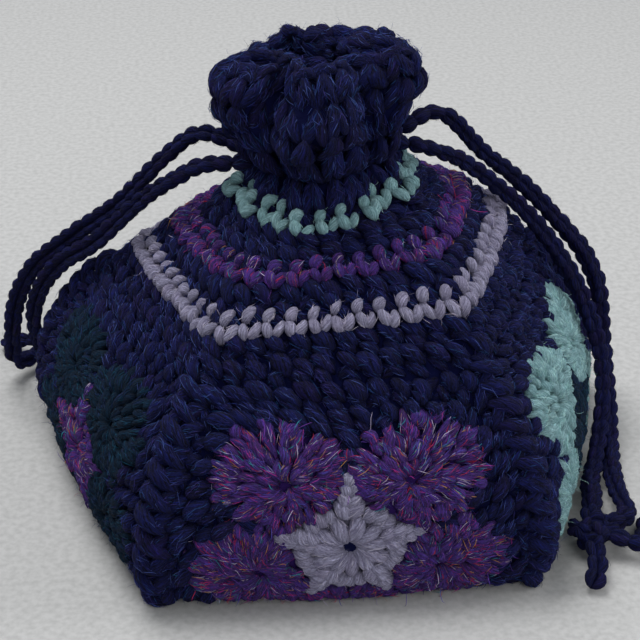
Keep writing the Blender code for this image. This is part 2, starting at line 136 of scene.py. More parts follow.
HALF_SIDE = math.pi / SIDES
TAN_HALF = math.tan(HALF_SIDE)
ROUND_GAIN = SIDES * TAN_HALF / math.pi
PANEL_INRADIUS = PANEL_EDGE / (2 * TAN_HALF)
PANEL_RUN = PANEL_EDGE * math.sin(2 * HALF_SIDE)
PANEL_HALF_WIDTH = PANEL_EDGE * math.cos(HALF_SIDE)
SPLAY = (PANEL_HALF_WIDTH - PANEL_EDGE / 2) / PANEL_RUN


def smooth_curve(points, steps):
    """Curve through the points: each stretch is a cubic between two of them,
    with the slope at each point set by that point's two neighbours."""
    known = np.asarray(points, float)
    known = np.vstack([2 * known[0] - known[1], known, 2 * known[-1] - known[-2]])
    a, b, c, d = (known[k:len(known) - 3 + k, None] for k in range(4))
    share = np.linspace(0.0, 1.0, steps, endpoint=False)[None, :, None]
    curve = 0.5 * (2 * b + (c - a) * share
                   + (2 * a - 5 * b + 4 * c - d) * share ** 2
                   + (3 * b - a - 3 * c + d) * share ** 3)
    return np.vstack([curve.reshape(-1, known.shape[1]), known[-2][None]])


def distance_along(line):
    """Running sum of the straight gaps between neighbouring points."""
    gaps = np.linalg.norm(np.diff(line, axis=0), axis=1)
    return np.concatenate([[0.0], np.cumsum(gaps)])


CURVE = smooth_curve(PROFILE, 24)
CURVE[:, 1] = np.maximum(CURVE[:, 1], 0.0)
RUNS = distance_along(CURVE[:, :2])
RUNS = RUNS - RUNS[np.argmax(CURVE[:, 1] > (PROFILE[3, 1] + PROFILE[4, 1]) / 2)]
SLOPES = np.gradient(CURVE[:, :2], RUNS + np.arange(len(RUNS)) * 1e-9, axis=0)
LILAC_RUN = PANEL_RUN + LOWER_BAND
MIDDLE_RUN = LILAC_RUN + LILAC_BAND
PURPLE_RUN = MIDDLE_RUN + MIDDLE_BAND
UPPER_RUN = PURPLE_RUN + PURPLE_BAND
MINT_RUN = UPPER_RUN + UPPER_BAND
FRILL_RUN = MINT_RUN + MINT_BAND
NECK_RUN = FRILL_RUN + NECK_RISE
RIM_RUN = float(RUNS[-1])
print("from the fold up to the rim: %.0f mm" % (RIM_RUN * 1000))

# %% [markdown]
# ## A point of the skin
#
# `skin` turns a turn and a run into a point in space.  The gathers are
# waves in the distance from the axis that grow towards the neck, and the
# large fold at the front is a narrow bell-shaped bump on top of them.
# `panel_point` does the same for a panel drawn flat on paper, where x and y
# are measured from the middle of its flower.

# %% Skin and panels
def ease(value, start, over):
    """0 before start, 1 past start + over, and 3s^2 - 2s^3 between."""
    share = np.clip((value - start) / over, 0.0, 1.0)
    return share * share * (3 - 2 * share)


def fold_size(turn, level):
    """Outward push of the gathers: a depth that grows with height, times
    the sum of two cosines of the turn, plus a bell-shaped front fold and
    a ruffle of five cosine waves that opens out above the neck."""
    depth = np.interp(level, (SHOULDER_LEVEL, HIGH_SHOULDER_LEVEL,
                              THROAT_LEVEL, COLLAR_LEVEL, FLARE_LEVEL,
                              RIM_LEVEL),
                      (0.0, 0.2 * GATHER_DEPTH, 0.8 * GATHER_DEPTH,
                       GATHER_DEPTH, GATHER_DEPTH, RIM_WAVE))
    waves = 0.75 * np.cos(GATHERS * (turn - GATHER_TURN))
    waves = waves + 0.4 * np.cos(SIDES * turn + 1.0)
    near = (turn + math.pi) % (2 * math.pi) - math.pi
    front = FRONT_FOLD * np.exp(-(near / FRONT_FOLD_SPREAD) ** 2)
    front = front * ease(level, THROAT_LEVEL, COLLAR_LEVEL - THROAT_LEVEL)
    front = front * (1 - 0.6 * ease(level, FRILL_LEVEL, FRONT_FOLD_FADE))
    ruffle = RUFFLE_DEPTH * np.cos(RUFFLES * turn)
    ruffle = ruffle * ease(level, NECK_LEVEL, CROWN_LEVEL - NECK_LEVEL)
    return depth * waves + front + ruffle


def skin(turn, run, depth=0.0):
    """Point at a turn and a run: the profile's half-width, made five-sided
    by 1 / cos of the angle from the nearest side's middle, plus the folds,
    set in by the depth along the profile's normal, then squeezed front to
    back at the mouth, leant and swayed."""
    turn, run, depth = np.broadcast_arrays(
        np.asarray(turn, float), np.asarray(run, float),
        np.asarray(depth, float))
    half, level, roundness = (np.interp(run, RUNS, CURVE[:, k]) for k in range(3))
    out_slope, up_slope = (np.interp(run, RUNS, SLOPES[:, k]) for k in range(2))
    size = np.maximum(np.hypot(out_slope, up_slope), 1e-9)
    off = (turn + HALF_SIDE) % (2 * HALF_SIDE) - HALF_SIDE
    reach = half * ((1 - roundness) / np.cos(off) + roundness * ROUND_GAIN)
    inner = np.clip(depth / FABRIC, 0.0, 1.0)
    near_neck = np.exp(-((run - NECK_RUN) / NECK_FILL_REACH) ** 2)
    pressed = ease(run, -FLATTEN_BEFORE, FLATTEN_BEFORE)
    depth = np.where(depth < 0, depth * pressed, depth)
    share = 1 - inner * (1 - INNER_FOLD_SHARE) * near_neck
    reach = reach + share * fold_size(turn, level)
    depth = depth + inner * NECK_FILL * near_neck
    reach = reach - depth * up_slope / size
    level = level + depth * out_slope / size
    squeeze = ease(level, NECK_LEVEL, RIM_LEVEL - NECK_LEVEL)
    across = reach * np.sin(turn)
    back = -reach * np.cos(turn) * (1 - MOUTH_SQUEEZE_SHARE * squeeze)
    askew = ease(level, LEAN_FROM, LEAN_OVER)
    level = level + askew * (LEAN_RIGHT_SHARE * across + LEAN_BACK_SHARE * back)
    across = across - SWAY * ease(level, THROAT_LEVEL, SWAY_OVER)
    return np.stack([across, back, level], axis=-1)


def panel_width(run):
    """Half a panel's width at a run: its straight side's above the fold, and
    in proportion to the profile's half-width below it."""
    half_now, half_fold = (np.interp(x, RUNS, CURVE[:, 0]) for x in (run, 0.0))
    return np.where(run >= 0, PANEL_EDGE / 2 + (PANEL_RUN - run) * SPLAY,
                    PANEL_HALF_WIDTH * half_now / half_fold)


def panel_point(side, x, y, depth=0.0):
    """Point of a panel drawn flat: y gives the run, and x as a share of the
    panel's half-width there gives the tangent of the turn."""
    run = PANEL_RUN - PANEL_INRADIUS + y
    turn = np.arctan(TAN_HALF * x / panel_width(run)) + side * 2 * HALF_SIDE
    return skin(turn, run, depth)


def edge_radius(angle, inset):
    """Pentagon: the inradius over the cosine of the angle off its side."""
    off = (angle - math.pi / 2 + HALF_SIDE) % (2 * HALF_SIDE) - HALF_SIDE
    return (PANEL_INRADIUS - inset) / np.cos(off)


def petal_radius(angle):
    """Five petals: notch radius plus a power of |sin| of 2.5 angles."""
    wave = np.abs(np.sin(SIDES / 2 * (angle - math.pi / 2))) ** 0.7
    return PETAL_NOTCH + (PETAL_REACH - PETAL_NOTCH) * wave


def centre_radius(angle):
    """Flower's middle: a circle with a point between each two petals."""
    return CENTRE_REACH + CENTRE_POINTS * np.cos(SIDES * (angle - math.pi / 2))


print("front of the rim:", np.round(skin(0.0, RIM_RUN), 4))

# %% [markdown]
# ## Wool
#
# Wool is matt, a little furry, and streaked along each strand by its
# fibres.  The streaks follow the yarn, so they can't come from a pattern in
# space.  Each strand carries a "fibre" attribute instead: the cosine and
# sine of the angle round the strand, twisted along it, and the distance
# along it.  Noise read at that place is seamless round the strand and
# stretched along it, which is just what spun fibres look like.  Two shader
# node groups hold the effect, and every yarn uses them with its own colours.

# %% Node helpers
COLOUR_A, COLOUR_B, COLOUR_OUT = 6, 7, 2  # a mix node's sockets for colours


def add_node(tree, kind, place, values=(), **settings):
    """Add a shader node at a place, with its properties and its inputs."""
    node = tree.nodes.new("ShaderNode" + kind)
    node.location = place
    for name, value in settings.items():
        setattr(node, name, value)
    for name, value in dict(values).items():
        node.inputs[name].default_value = value
    return node


def wire(tree, *links):
    """Link sockets, each link given as node, output, node, input."""
    for source, output, target, entry in links:
        tree.links.new(source.outputs[output], target.inputs[entry])


def colour_ramp(tree, place, stops, mode="CONSTANT"):
    """Ramp that takes each stop's colour at that stop's position."""
    ramp = add_node(tree, "ValToRGB", place)
    ramp.color_ramp.interpolation = mode
    while len(ramp.color_ramp.elements) < len(stops):
        ramp.color_ramp.elements.new(0.5)
    for stop, (position, colour) in zip(ramp.color_ramp.elements, stops):
        stop.position, stop.color = position, (*colour, 1)
    return ramp


def new_material(name, roughness, specular):
    """Principled material, with its node tree and its shader node."""
    made = bpy.data.materials.new(name)
    made.use_nodes = True
    shader = made.node_tree.nodes["Principled BSDF"]
    shader.inputs["Roughness"].default_value = roughness
    shader.inputs["Specular IOR Level"].default_value = specular
    return made, made.node_tree, shader


def new_group(name, inputs, outputs):
    """Shader group with named sockets, inputs with a default each."""
    group = bpy.data.node_groups.new(name, "ShaderNodeTree")
    for way, sockets in (("INPUT", inputs), ("OUTPUT", outputs)):
        for label, kind, *default in sockets:
            socket = group.interface.new_socket(
                label, in_out=way, socket_type="NodeSocket" + kind)
            if default:
                socket.default_value = default[0]
    given, result = (group.nodes.new("NodeGroup" + end) for end in ("Input", "Output"))
    given.location, result.location = (-900, 0), (700, 0)
    return group, given, result


# %% Spun fibres
def spun_fibre_group():
    """Colour and height of spun fibres.  Noise at the fibre attribute, with
    its middle stretched to 0 to 1, is the height and the lit colour's share
    over the shadow colour.  A strand's tint from 0.55 up mixes a share of
    the second tone into its lit colour."""
    group, given, result = new_group("spun_fibre", (
        ("Shadow Colour", "Color", (0.01, 0.01, 0.05, 1)),
        ("Lit Colour", "Color", (0.03, 0.04, 0.15, 1)),
        ("Second Tone", "Color", (0.04, 0.02, 0.12, 1)),
        ("Streaks", "Float", 4.0)),
        (("Color", "Color"), ("Height", "Float")))
    fibre = add_node(group, "Attribute", (-900, 300), attribute_name="fibre")
    tint = add_node(group, "Attribute", (-900, -300), attribute_name="tint")
    streak = add_node(group, "TexNoise", (-650, 300), {"Detail": 4.0, "Roughness": 0.68})
    contrast = add_node(group, "MapRange", (-420, 300),
                        {"From Min": 0.38, "From Max": 0.66})
    share = add_node(group, "MapRange", (-420, -300), {"From Min": 0.55, "To Max": 0.75})
    lit = add_node(group, "Mix", (-150, -100), data_type="RGBA")
    tone = add_node(group, "Mix", (120, 100), data_type="RGBA")
    wire(group, (fibre, "Vector", streak, "Vector"), (given, "Streaks", streak, "Scale"),
         (streak, "Fac", contrast, "Value"), (tint, "Fac", share, "Value"),
         (share, "Result", lit, "Factor"), (given, "Lit Colour", lit, COLOUR_A),
         (given, "Second Tone", lit, COLOUR_B), (contrast, "Result", tone, "Factor"),
         (given, "Shadow Colour", tone, COLOUR_A), (lit, COLOUR_OUT, tone, COLOUR_B),
         (tone, COLOUR_OUT, result, "Color"), (contrast, "Result", result, "Height"))
    return group


# %% Bright flecks
def bright_fleck_group():
    """Mask and colour of bright fibres spun into the purple yarn: narrow
    bands of a second noise, coloured by a third one through a ramp."""
    group, given, result = new_group(
        "bright_fleck", (("Fineness", "Float", 3.2),),
        (("Mask", "Float"), ("Color", "Color")))
    fibre = add_node(group, "Attribute", (-900, 200), attribute_name="fibre")
    spots = add_node(group, "TexNoise", (-650, 250), {"Detail": 1.0})
    mask = add_node(group, "MapRange", (-400, 250), {"From Min": 0.6, "From Max": 0.7})
    which = add_node(group, "TexNoise", (-650, -100), {"Scale": 1.1, "Detail": 0.0})
    ramp = colour_ramp(group, (-400, -100), (
        (0.3, (0.42, 0.012, 0.07)), (0.42, (0.26, 0.03, 0.34)), (0.47, (0.44, 0.02, 0.22)),
        (0.51, (0.09, 0.06, 0.42)), (0.57, (0.02, 0.26, 0.34)), (0.62, (0.46, 0.18, 0.05)),
        (0.67, (0.5, 0.42, 0.56))))
    wire(group, (fibre, "Vector", spots, "Vector"), (given, "Fineness", spots, "Scale"),
         (spots, "Fac", mask, "Value"), (fibre, "Vector", which, "Vector"),
         (which, "Fac", ramp, "Fac"), (mask, "Result", result, "Mask"),
         (ramp, "Color", result, "Color"))
    return group


SPUN_FIBRE, BRIGHT_FLECK = spun_fibre_group(), bright_fleck_group()
print("node groups:", SPUN_FIBRE.name, BRIGHT_FLECK.name)

# %% [markdown]
# ## Five yarns
#
# Navy, lilac, mint and dark teal are plain dyed wool, each with a shadow
# colour deep between its fibres, a lit colour on top, and a second tone that
# some strands lean to.  The purple yarn has bright fibres of magenta, red,
# teal and gold spun in, so it gets the fleck group mixed over the plain one.

# %% Yarn materials
YARN_TONES = {
    "navy": ((0.0011, 0.0013, 0.01), (0.0095, 0.015, 0.14), (0.0165, 0.009, 0.11)),
    "lilac": ((0.19, 0.175, 0.29), (0.6, 0.58, 0.84), (0.53, 0.48, 0.73)),
    "mint": ((0.17, 0.35, 0.39), (0.5, 0.84, 0.9), (0.4, 0.74, 0.8)),
    "teal": ((0.001, 0.006, 0.016), (0.003, 0.034, 0.085), (0.005, 0.024, 0.088)),
    "purple": ((0.016, 0.007, 0.062), (0.125, 0.045, 0.44), (0.155, 0.029, 0.3)),
}
SHEEN = {"navy": 0.02, "lilac": 0.12, "mint": 0.12, "teal": 0.02, "purple": 0.05}
FIBRE_HEIGHT = 0.0009


def yarn_material(colour):
    """Principled wool: fibre colour, fibre bump and a soft sheen."""
    made, tree, shader = new_material("wool_" + colour, 0.9, 0.1)
    shader.inputs["Sheen Weight"].default_value = SHEEN[colour]
    shader.inputs["Sheen Roughness"].default_value = 0.5
    fibres = add_node(tree, "Group", (-700, 200), node_tree=SPUN_FIBRE)
    for label, tone in zip(("Shadow Colour", "Lit Colour", "Second Tone"),
                           YARN_TONES[colour]):
        fibres.inputs[label].default_value = (*tone, 1)
    bump = add_node(tree, "Bump", (-250, -200),
                    {"Strength": 1.0, "Distance": FIBRE_HEIGHT})
    wire(tree, (fibres, "Height", bump, "Height"), (bump, "Normal", shader, "Normal"))
    if colour != "purple":
        wire(tree, (fibres, "Color", shader, "Base Color"))
        return made
    flecks = add_node(tree, "Group", (-700, -100), node_tree=BRIGHT_FLECK)
    over = add_node(tree, "Mix", (-400, 150), data_type="RGBA")
    wire(tree, (flecks, "Mask", over, "Factor"), (fibres, "Color", over, COLOUR_A),
         (flecks, "Color", over, COLOUR_B), (over, COLOUR_OUT, shader, "Base Color"))
    return made


WOOL = {colour: yarn_material(colour) for colour in YARN_TONES}
print("yarns:", ", ".join(WOOL))

# %% [markdown]
# ## One strand of yarn
#
# What shows of a stitch is a plump strand that comes up from under one
# neighbour and dives under another.  It is a tube along a cubic arc, which
# runs from its first point to its last and is pulled by two between them.
# The tube's oval section swells and shrinks as a power of a sine, with a pole
# at each end.  All strands of a piece are worked out at once as arrays:
# strands by rings by places round the ring.  A strand has 56 faces, few
# enough for some thousands of them.

# %% Strands
RINGS, ROUND = 6, 8
SWELL = 0.55
FIBRE_STRETCH = 60  # how fast the fibre attribute runs along a strand, per metre


def arc_weights(t):
    """Weights of an arc's four control points at t, the terms of (1 - t + t)
    cubed, and their slopes."""
    s = 1 - t
    weights = np.stack([s ** 3, 3 * s * s * t, 3 * s * t * t, t ** 3], -1)
    slopes = np.stack([-3 * s * s, 3 * s * s - 6 * s * t, 6 * s * t - 3 * t * t, 3 * t * t], -1)
    return weights, slopes


def unit(vectors):
    """Each vector over its own length."""
    size = np.linalg.norm(vectors, axis=-1, keepdims=True)
    return vectors / np.maximum(size, 1e-12)


def frames_along(controls, facing, t):
    """Points of the arcs at t, with units sideways, square to the way the
    strand runs and to the way it faces, and outwards."""
    weights, slopes = arc_weights(t)
    along = unit(slopes @ controls)
    sideways = unit(np.cross(along, facing[:, None]))
    return weights @ controls, sideways, np.cross(sideways, along)


def tube_faces(count, rings, around):
    """Quads between the rings and triangles at both poles, as indices."""
    ring, k = np.meshgrid(np.arange(rings - 1), np.arange(around), indexing="ij")
    n = (k + 1) % around
    quads = np.stack([ring * around + k, (ring + 1) * around + k,
                      (ring + 1) * around + n, ring * around + n], -1).reshape(-1, 4)
    k, n = k[0], n[0]
    start, end, last = rings * around, rings * around + 1, (rings - 1) * around
    tris = np.concatenate([np.stack([np.full(around, start), k, n], -1),
                           np.stack([last + k, np.full(around, end), last + n], -1)])
    step = (np.arange(count) * (rings * around + 2))[:, None, None]
    return (quads[None] + step).reshape(-1, 4), (tris[None] + step).reshape(-1, 3)


def strands(controls, facing, wide, thick, swell=SWELL, turns=3.0, rings=RINGS, around=ROUND):
    """Tubes along cubic arcs.  A ring's points are its centre plus wide cos(a)
    sideways plus thick sin(a) outwards, times sin(pi t) to the power swell.
    Gives vertices, faces, the two wool attributes, and the recipe that loose
    fibres are later laid along."""
    count = len(controls)
    t = np.linspace(0, 1, rings + 2)
    line, sideways, outwards = frames_along(controls, facing, t)
    angle = np.arange(around) * 2 * math.pi / around
    plump = (np.sin(math.pi * t[1:-1]) ** swell)[None, :, None, None]
    wide, thick = np.broadcast_to(wide, count), np.broadcast_to(thick, count)
    across = plump * wide[:, None, None, None]
    deep = plump * thick[:, None, None, None]
    body = (line[:, 1:-1, None] + across * np.cos(angle)[:, None] * sideways[:, 1:-1, None]
            + deep * np.sin(angle)[:, None] * outwards[:, 1:-1, None])
    points = np.concatenate([body.reshape(count, -1, 3), line[:, :1], line[:, -1:]], axis=1)
    reach = np.linalg.norm(controls[:, 3] - controls[:, 0], axis=1)
    spin = angle[None, None] + turns * t[None, 1:-1, None]
    far = FIBRE_STRETCH * reach[:, None, None] * t[None, 1:-1, None]
    start = rng.uniform(0, 500, count)[:, None, None]
    fibre = np.stack(np.broadcast_arrays(np.cos(spin), np.sin(spin), far + start), -1)
    ends = np.zeros((count, 2, 3))
    ends[:, :, 2] = start[:, 0] + np.array([0, 1]) * far[:, -1]
    fibre = np.concatenate([fibre.reshape(count, -1, 3), ends], axis=1)
    tint = np.repeat(rng.random(count), points.shape[1])
    return (points.reshape(-1, 3), *tube_faces(count, rings, around), fibre.reshape(-1, 3),
            tint, (controls, facing, wide, thick))


# %% [markdown]
# ## From arrays to a mesh
#
# Filling a mesh through `foreach_set` hands the arrays over in one go.
# Nothing of the bag may sink into the ground it stands on, so heights are
# cut off just above zero, which also presses the lowest stitches flat as the
# bag's weight does.

# %% Mesh builder
GROUND_CLEARANCE = 0.0003


def wool_mesh(name, parts, colour):
    """Join strand arrays into one smooth mesh object of one yarn."""
    points, fibre, tint = (np.concatenate([part[k] for part in parts]) for k in (0, 3, 4))
    starts = np.cumsum([0] + [len(part[0]) for part in parts])
    quads, tris = (np.concatenate([part[k] + start for part, start in zip(parts, starts)])
                   for k in (1, 2))
    points[:, 2] = np.maximum(points[:, 2], GROUND_CLEARANCE)
    mesh = bpy.data.meshes.new(name)
    mesh.vertices.add(len(points))
    mesh.vertices.foreach_set("co", points.astype(np.float32).ravel())
    mesh.loops.add(quads.size + tris.size)
    mesh.loops.foreach_set("vertex_index", np.concatenate(
        [quads.ravel(), tris.ravel()]).astype(np.int32))
    mesh.polygons.add(len(quads) + len(tris))
    mesh.polygons.foreach_set("loop_start", np.concatenate(
        [np.arange(len(quads)) * 4, quads.size + np.arange(len(tris)) * 3]).astype(np.int32))
    mesh.update(calc_edges=True)
    mesh.shade_smooth()
    mesh.attributes.new("fibre", "FLOAT_VECTOR", "POINT").data.foreach_set(
        "vector", fibre.astype(np.float32).ravel())
    mesh.attributes.new("tint", "FLOAT", "POINT").data.foreach_set(
        "value", tint.astype(np.float32))
    mesh.materials.append(WOOL[colour] if isinstance(colour, str) else colour)
    return add_object(name, mesh)


TRIANGLES, RECIPES = {}, {}


def dress(name, parts, colour, *nodes):
    """Make a wool piece, let it ride on the bag and stand for solids."""
    piece = wool_mesh(name, parts, colour)
    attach(piece, "root")
    if nodes:
        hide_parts(*nodes)
    TRIANGLES[name] = len(piece.data.loops) - 2 * len(piece.data.polygons)
    RECIPES[name] = [part[5] for part in parts if part[5]]
    return piece


# %% [markdown]
# ## Loose fibres
#
# Wool is never smooth.  Short fibres lie along every strand and lift off it
# at one end, and their lit streaks are most of what the eye reads as fur.
# They are made from the strands' own recipes: a stretch of the strand's
# surface, followed at a slowly changing angle round it and at a growing
# distance from it.  A fibre is a tube of three sides with nine faces, and
# it hands on no recipe, so that fibres aren't laid along fibres.

# %% Fibres along the strands
FIBRE_LIFT = (0, 0.2, 0.5, 1.0)


def lie_along(recipes, count, length, radius, rise, wander):
    """Fibres from a random place t along a random strand to t plus length
    over the strand's length, at the surface's distance from its centre
    line plus a rise times (0, 0.2, 0.5, 1) at the four control points."""
    controls, facing, wide, thick = (
        np.concatenate([recipe[k] for recipe in recipes]) for k in range(4))
    pick = rng.integers(0, len(controls), count)
    controls, facing = controls[pick], facing[pick]
    size = np.linalg.norm(controls[:, 3] - controls[:, 0], axis=1)
    start = rng.uniform(0.06, 0.94, count)
    span = np.clip(length * rng.uniform(0.5, 1.5, count) / size, 0.12, 0.85)
    span = np.where(start < 0.5, span, -span)
    t = np.clip(start[:, None] + span[:, None] * np.linspace(0, 1, 4), 0.04, 0.96)
    line, sideways, outwards = frames_along(controls, facing, t)
    angle = rng.uniform(0.05, 0.95, (count, 1)) * math.pi
    angle = angle + np.cumsum(rng.normal(0, wander, (count, 4)), axis=1)
    plump = np.sin(math.pi * t) ** SWELL
    off = np.minimum(rng.gamma(1.2, 0.8, (count, 1)), 2.2)
    off = rise * off * FIBRE_LIFT
    across = (plump * wide[pick][:, None] + off) * np.cos(angle)
    deep = (plump * thick[pick][:, None] + off) * np.sin(angle)
    path = (line + across[..., None] * sideways + deep[..., None] * outwards)
    return thin_fibres(path, radius, 2)


def thin_fibres(path, radius, rings):
    """Three-sided tubes along paths, with no recipe to hand on."""
    facing = unit(rng.normal(0, 1, (len(path), 3)))
    made = strands(path, facing, radius, radius, swell=0.3, rings=rings, around=3)
    return (*made[:5], None)


# %% [markdown]
# ## Drawstrings
#
# Each drawstring is a crocheted chain: a row of teardrop loops, each pulled
# through the last, which looks like a plait of small leaning strands.  The
# route points are the solid cords' own.  Links are laid along the route in
# pairs that lean in from both sides, with a third strand along the back, and
# the whole plait turns slowly as a real chain does.

# %% Cord routes
def neck_exit(turn):
    """Where a cord leaves the neck: the farthest fold near that turn."""
    turns = turn + np.radians(np.linspace(-9, 9, 13))[:, None]
    runs = NECK_RUN + np.linspace(-0.004, 0.004, 9)[None, :]
    near = skin(turns, runs, -0.0011) + (SWAY * 0.5, 0.0, 0.0)
    reach = np.hypot(near[..., 0], near[..., 1]).max() + 0.0003
    return (reach * math.sin(turn) - SWAY * 0.5, -reach * math.cos(turn),
            float(skin(turn, NECK_RUN)[2]))


def knot_side(place, degrees, away=0.0, lift=0.0):
    """Place where a cord meets a knot, or straight out from there."""
    way = math.radians(degrees)
    reach = KNOT_RADIUS + KNOT_GAP + away
    return (place[0] + reach * math.cos(way), place[1] + reach * math.sin(way), place[2] + lift)


def millimetres(points):
    """Points given in millimetres, in metres."""
    return [tuple(x / 1000 for x in point) for point in points]


KNOT_PLACES = {"left": (-0.098, 0.072, KNOT_RADIUS), "right": (0.0813, -0.0664, KNOT_RADIUS)}

# Turn at the neck and side of the knot, in degrees; how far out from the
# knot the cord comes down, and how far over it, and the way between, in mm.
CORD_TABLE = {
    "left_outer": (-113, 228, 14, 1, (
        (-40, 15, 117.5), (-51.8, 20, 107), (-68.5, 26, 87.5), (-86, 33, 72.2),
        (-100.5, 40, 57.7), (-109, 45.5, 40.4), (-112, 50, 23))),
    "left_inner": (-86, 276, 14, 1, (
        (-39, 2, 112), (-48, 6, 106), (-60.9, 14, 93.5), (-76.5, 20, 76.5),
        (-91.5, 30, 62.5), (-101, 37, 44.5), (-102.5, 43, 23))),
    "right_outer": (112, 27, 9, 0.5, (
        (40, 16, 122), (55.3, 22, 104.6), (70.9, 26, 90), (84, 26, 75.7), (95, 25, 62.5),
        (101, 24, 50), (103, 21.5, 37.2), (103.2, 15, 26.2), (102.8, 5, 16.5),
        (101.2, -8, 9.5), (98.5, -22, 6), (97, -36, 5.5), (96.2, -47, 6.5))),
    "right_inner": (86, 76, 12, 1, (
        (40.5, 2, 113), (50.5, 8, 104.5), (65.5, 11, 90.5), (76.5, 11, 77.8),
        (84.5, 11, 66.2), (90.1, 10.5, 56), (94.2, 8.4, 47), (97.5, 4.3, 37),
        (98.5, -2.3, 27), (97.2, -10.3, 18), (94.3, -19.4, 11), (90.5, -29.4, 6.8),
        (87.4, -38.4, 6.2))),
}
# Side of the knot in degrees, how far out and over the knot, and the end.
TAIL_TABLE = {
    "left": ((165, 10, -2.5, ((-119.5, 81.5, 3),)),
             (70, 11, -2.5, ((-87.5, 96, 3), (-80, 100, 3)))),
    "right": ((-22, 10, -1.2, ((101, -62.5, 3), (104, -55, 3))),
              (-95, 10, -2, ((76.5, -89, 3),))),
}

# %% Chain links
LINK = 0.0054
# A link's strand: sideways in widths, along in links, outwards in widths,
# and outwards in widths for the strand along the back.
LINK_ASIDE = np.array([0.04, 0.92, 0.8, 0.0])
LINK_ALONG = np.array([-0.72, -0.34, 0.32, 0.84])
LINK_OUT, BACK_OUT = np.array([-0.3, 0.42, 0.42, -0.3]), np.array([-0.1, -0.55, -0.55, -0.1])
LINK_WIDE, LINK_THICK, LINK_DRIFT = 0.58, 0.54, 0.00016
PLAIT_TURN = 0.03  # way along a plait in which it turns by its spin
# Fibres a link, their length, radius, rise and wander.
CHAIN_FIBRES = ((26, 0.0035, 0.00006, 0.0004, 0.2), (3, 0.004, 0.00004, 0.0008, 0.4))


def chain_links(line, spin=0.5, width=1.08 * CORD_RADIUS):
    """Plait along a line: for each link two strands that lean in from both
    sides and one along the back, in a frame that turns with distance."""
    along = distance_along(line)
    count = max(2, int(along[-1] / LINK))
    at = (np.arange(count) + 0.5) * along[-1] / count

    def point(distance):
        return np.stack([np.interp(distance, along, line[:, k]) for k in range(3)], -1)

    ahead = unit(point(at + 0.002) - point(at - 0.002))
    side = unit(np.cross(ahead, (0.0, 0.0, 1.0)) + (0.0, 1e-4, 0.0))
    up = np.cross(side, ahead)
    angle = spin * at / PLAIT_TURN + rng.normal(0, 0.06, count)
    a = np.cos(angle)[:, None] * side + np.sin(angle)[:, None] * up
    b = np.cos(angle)[:, None] * up - np.sin(angle)[:, None] * side
    made = []
    for sign in (1, -1, 0):
        u, v = LINK_ASIDE * sign * width, LINK_ALONG * LINK * (1 if sign else 0.9)
        w = (LINK_OUT if sign else BACK_OUT) * width
        where = np.clip(at[:, None] + v[None], 0, along[-1])
        controls = (point(where.ravel()).reshape(count, 4, 3) + u[None, :, None] * a[:, None]
                    + w[None, :, None] * b[:, None])
        controls = controls + rng.normal(0, LINK_DRIFT, controls.shape)
        made.append(strands(controls, b * (1 if sign else -1), LINK_WIDE * width,
                            LINK_THICK * width, turns=2.0))
    recipes = [part[5] for part in made]
    return made + [lie_along(recipes, each * count, *kind) for each, *kind in CHAIN_FIBRES]


CORDS = {}
for short, (turn, degrees, away, lift, points) in CORD_TABLE.items():
    name, knot = "drawstring_" + short, KNOT_PLACES[short.split("_")[0]]
    line = smooth_curve((neck_exit(math.radians(turn)), *millimetres(points),
                         knot_side(knot, degrees, away / 1000, lift / 1000),
                         knot_side(knot, degrees)), 16)
    piece = dress(name + "_chain", chain_links(line), "navy", name)
    CORDS[name] = (piece, line)
    print(name, "is %.0f mm long" % (distance_along(line)[-1] * 1000))

# %% [markdown]
# ## Knots
#
# The two strands of a side end together in one overhand knot with two short
# tails.  An overhand knot closed on itself is a trefoil, so the lump is the
# same chain led along a small trefoil, and the tails are chains as well.
# Tails and strands run on into the lump.

# %% Knots and tails
TREFOIL_REACH, TREFOIL_HEIGHT = 0.006, 0.0028


def trefoil(place):
    """Trefoil line: (sin t + 2 sin 2t, cos t - 2 cos 2t, -sin 3t)."""
    t = np.linspace(0, 2 * math.pi, 90)
    line = np.stack([np.sin(t) + 2 * np.sin(2 * t),
                     np.cos(t) - 2 * np.cos(2 * t), -np.sin(3 * t)], -1)
    return line * (TREFOIL_REACH / 3, TREFOIL_REACH / 3, TREFOIL_HEIGHT) + np.array(place)


for hand, place in KNOT_PLACES.items():
    parts = chain_links(trefoil(place), spin=1.5)
    for degrees, away, lift, points in TAIL_TABLE[hand]:
        parts += chain_links(smooth_curve((
            place, knot_side(place, degrees),
            knot_side(place, degrees, away / 1000, lift / 1000), *millimetres(points)), 12))
    for name, (piece, line) in CORDS.items():
        if hand in name:
            parts += chain_links(np.linspace(line[-5], place, 12))
    tails = ("side", "rear") if hand == "left" else ("side", "front")
    dress("drawstring_knot_%s_chain" % hand, parts, "navy",
                        "drawstring_knot_" + hand,
                        *["drawstring_tail_%s_%s" % (hand, end) for end in tails])
for name, (piece, line) in CORDS.items():
    hand = "left" if "left" in name else "right"

# %% [markdown]
# ## A row of stitches
#
# A row lies between two lines on the skin, its lower and its upper edge.
# Each stitch gets a small frame of its own: one vector as long as a stitch
# along the row, one from the lower to the upper edge, and their cross
# product, which points out of the fabric.  A stitch pattern is drawn once in
# those coordinates, as control points (u, v, w), and then multiplied out for
# the whole row.  Small random shifts keep it from looking printed.

# %% Rows
PITCH = 0.007
LAID_DEPTH = 0.0022
# Random shifts, along, across and out: of a whole strand, of each point.
STRAND_DRIFT, POINT_DRIFT = (0.045, 0.045, 0.00025), (0.03, 0.03, 0.00018)


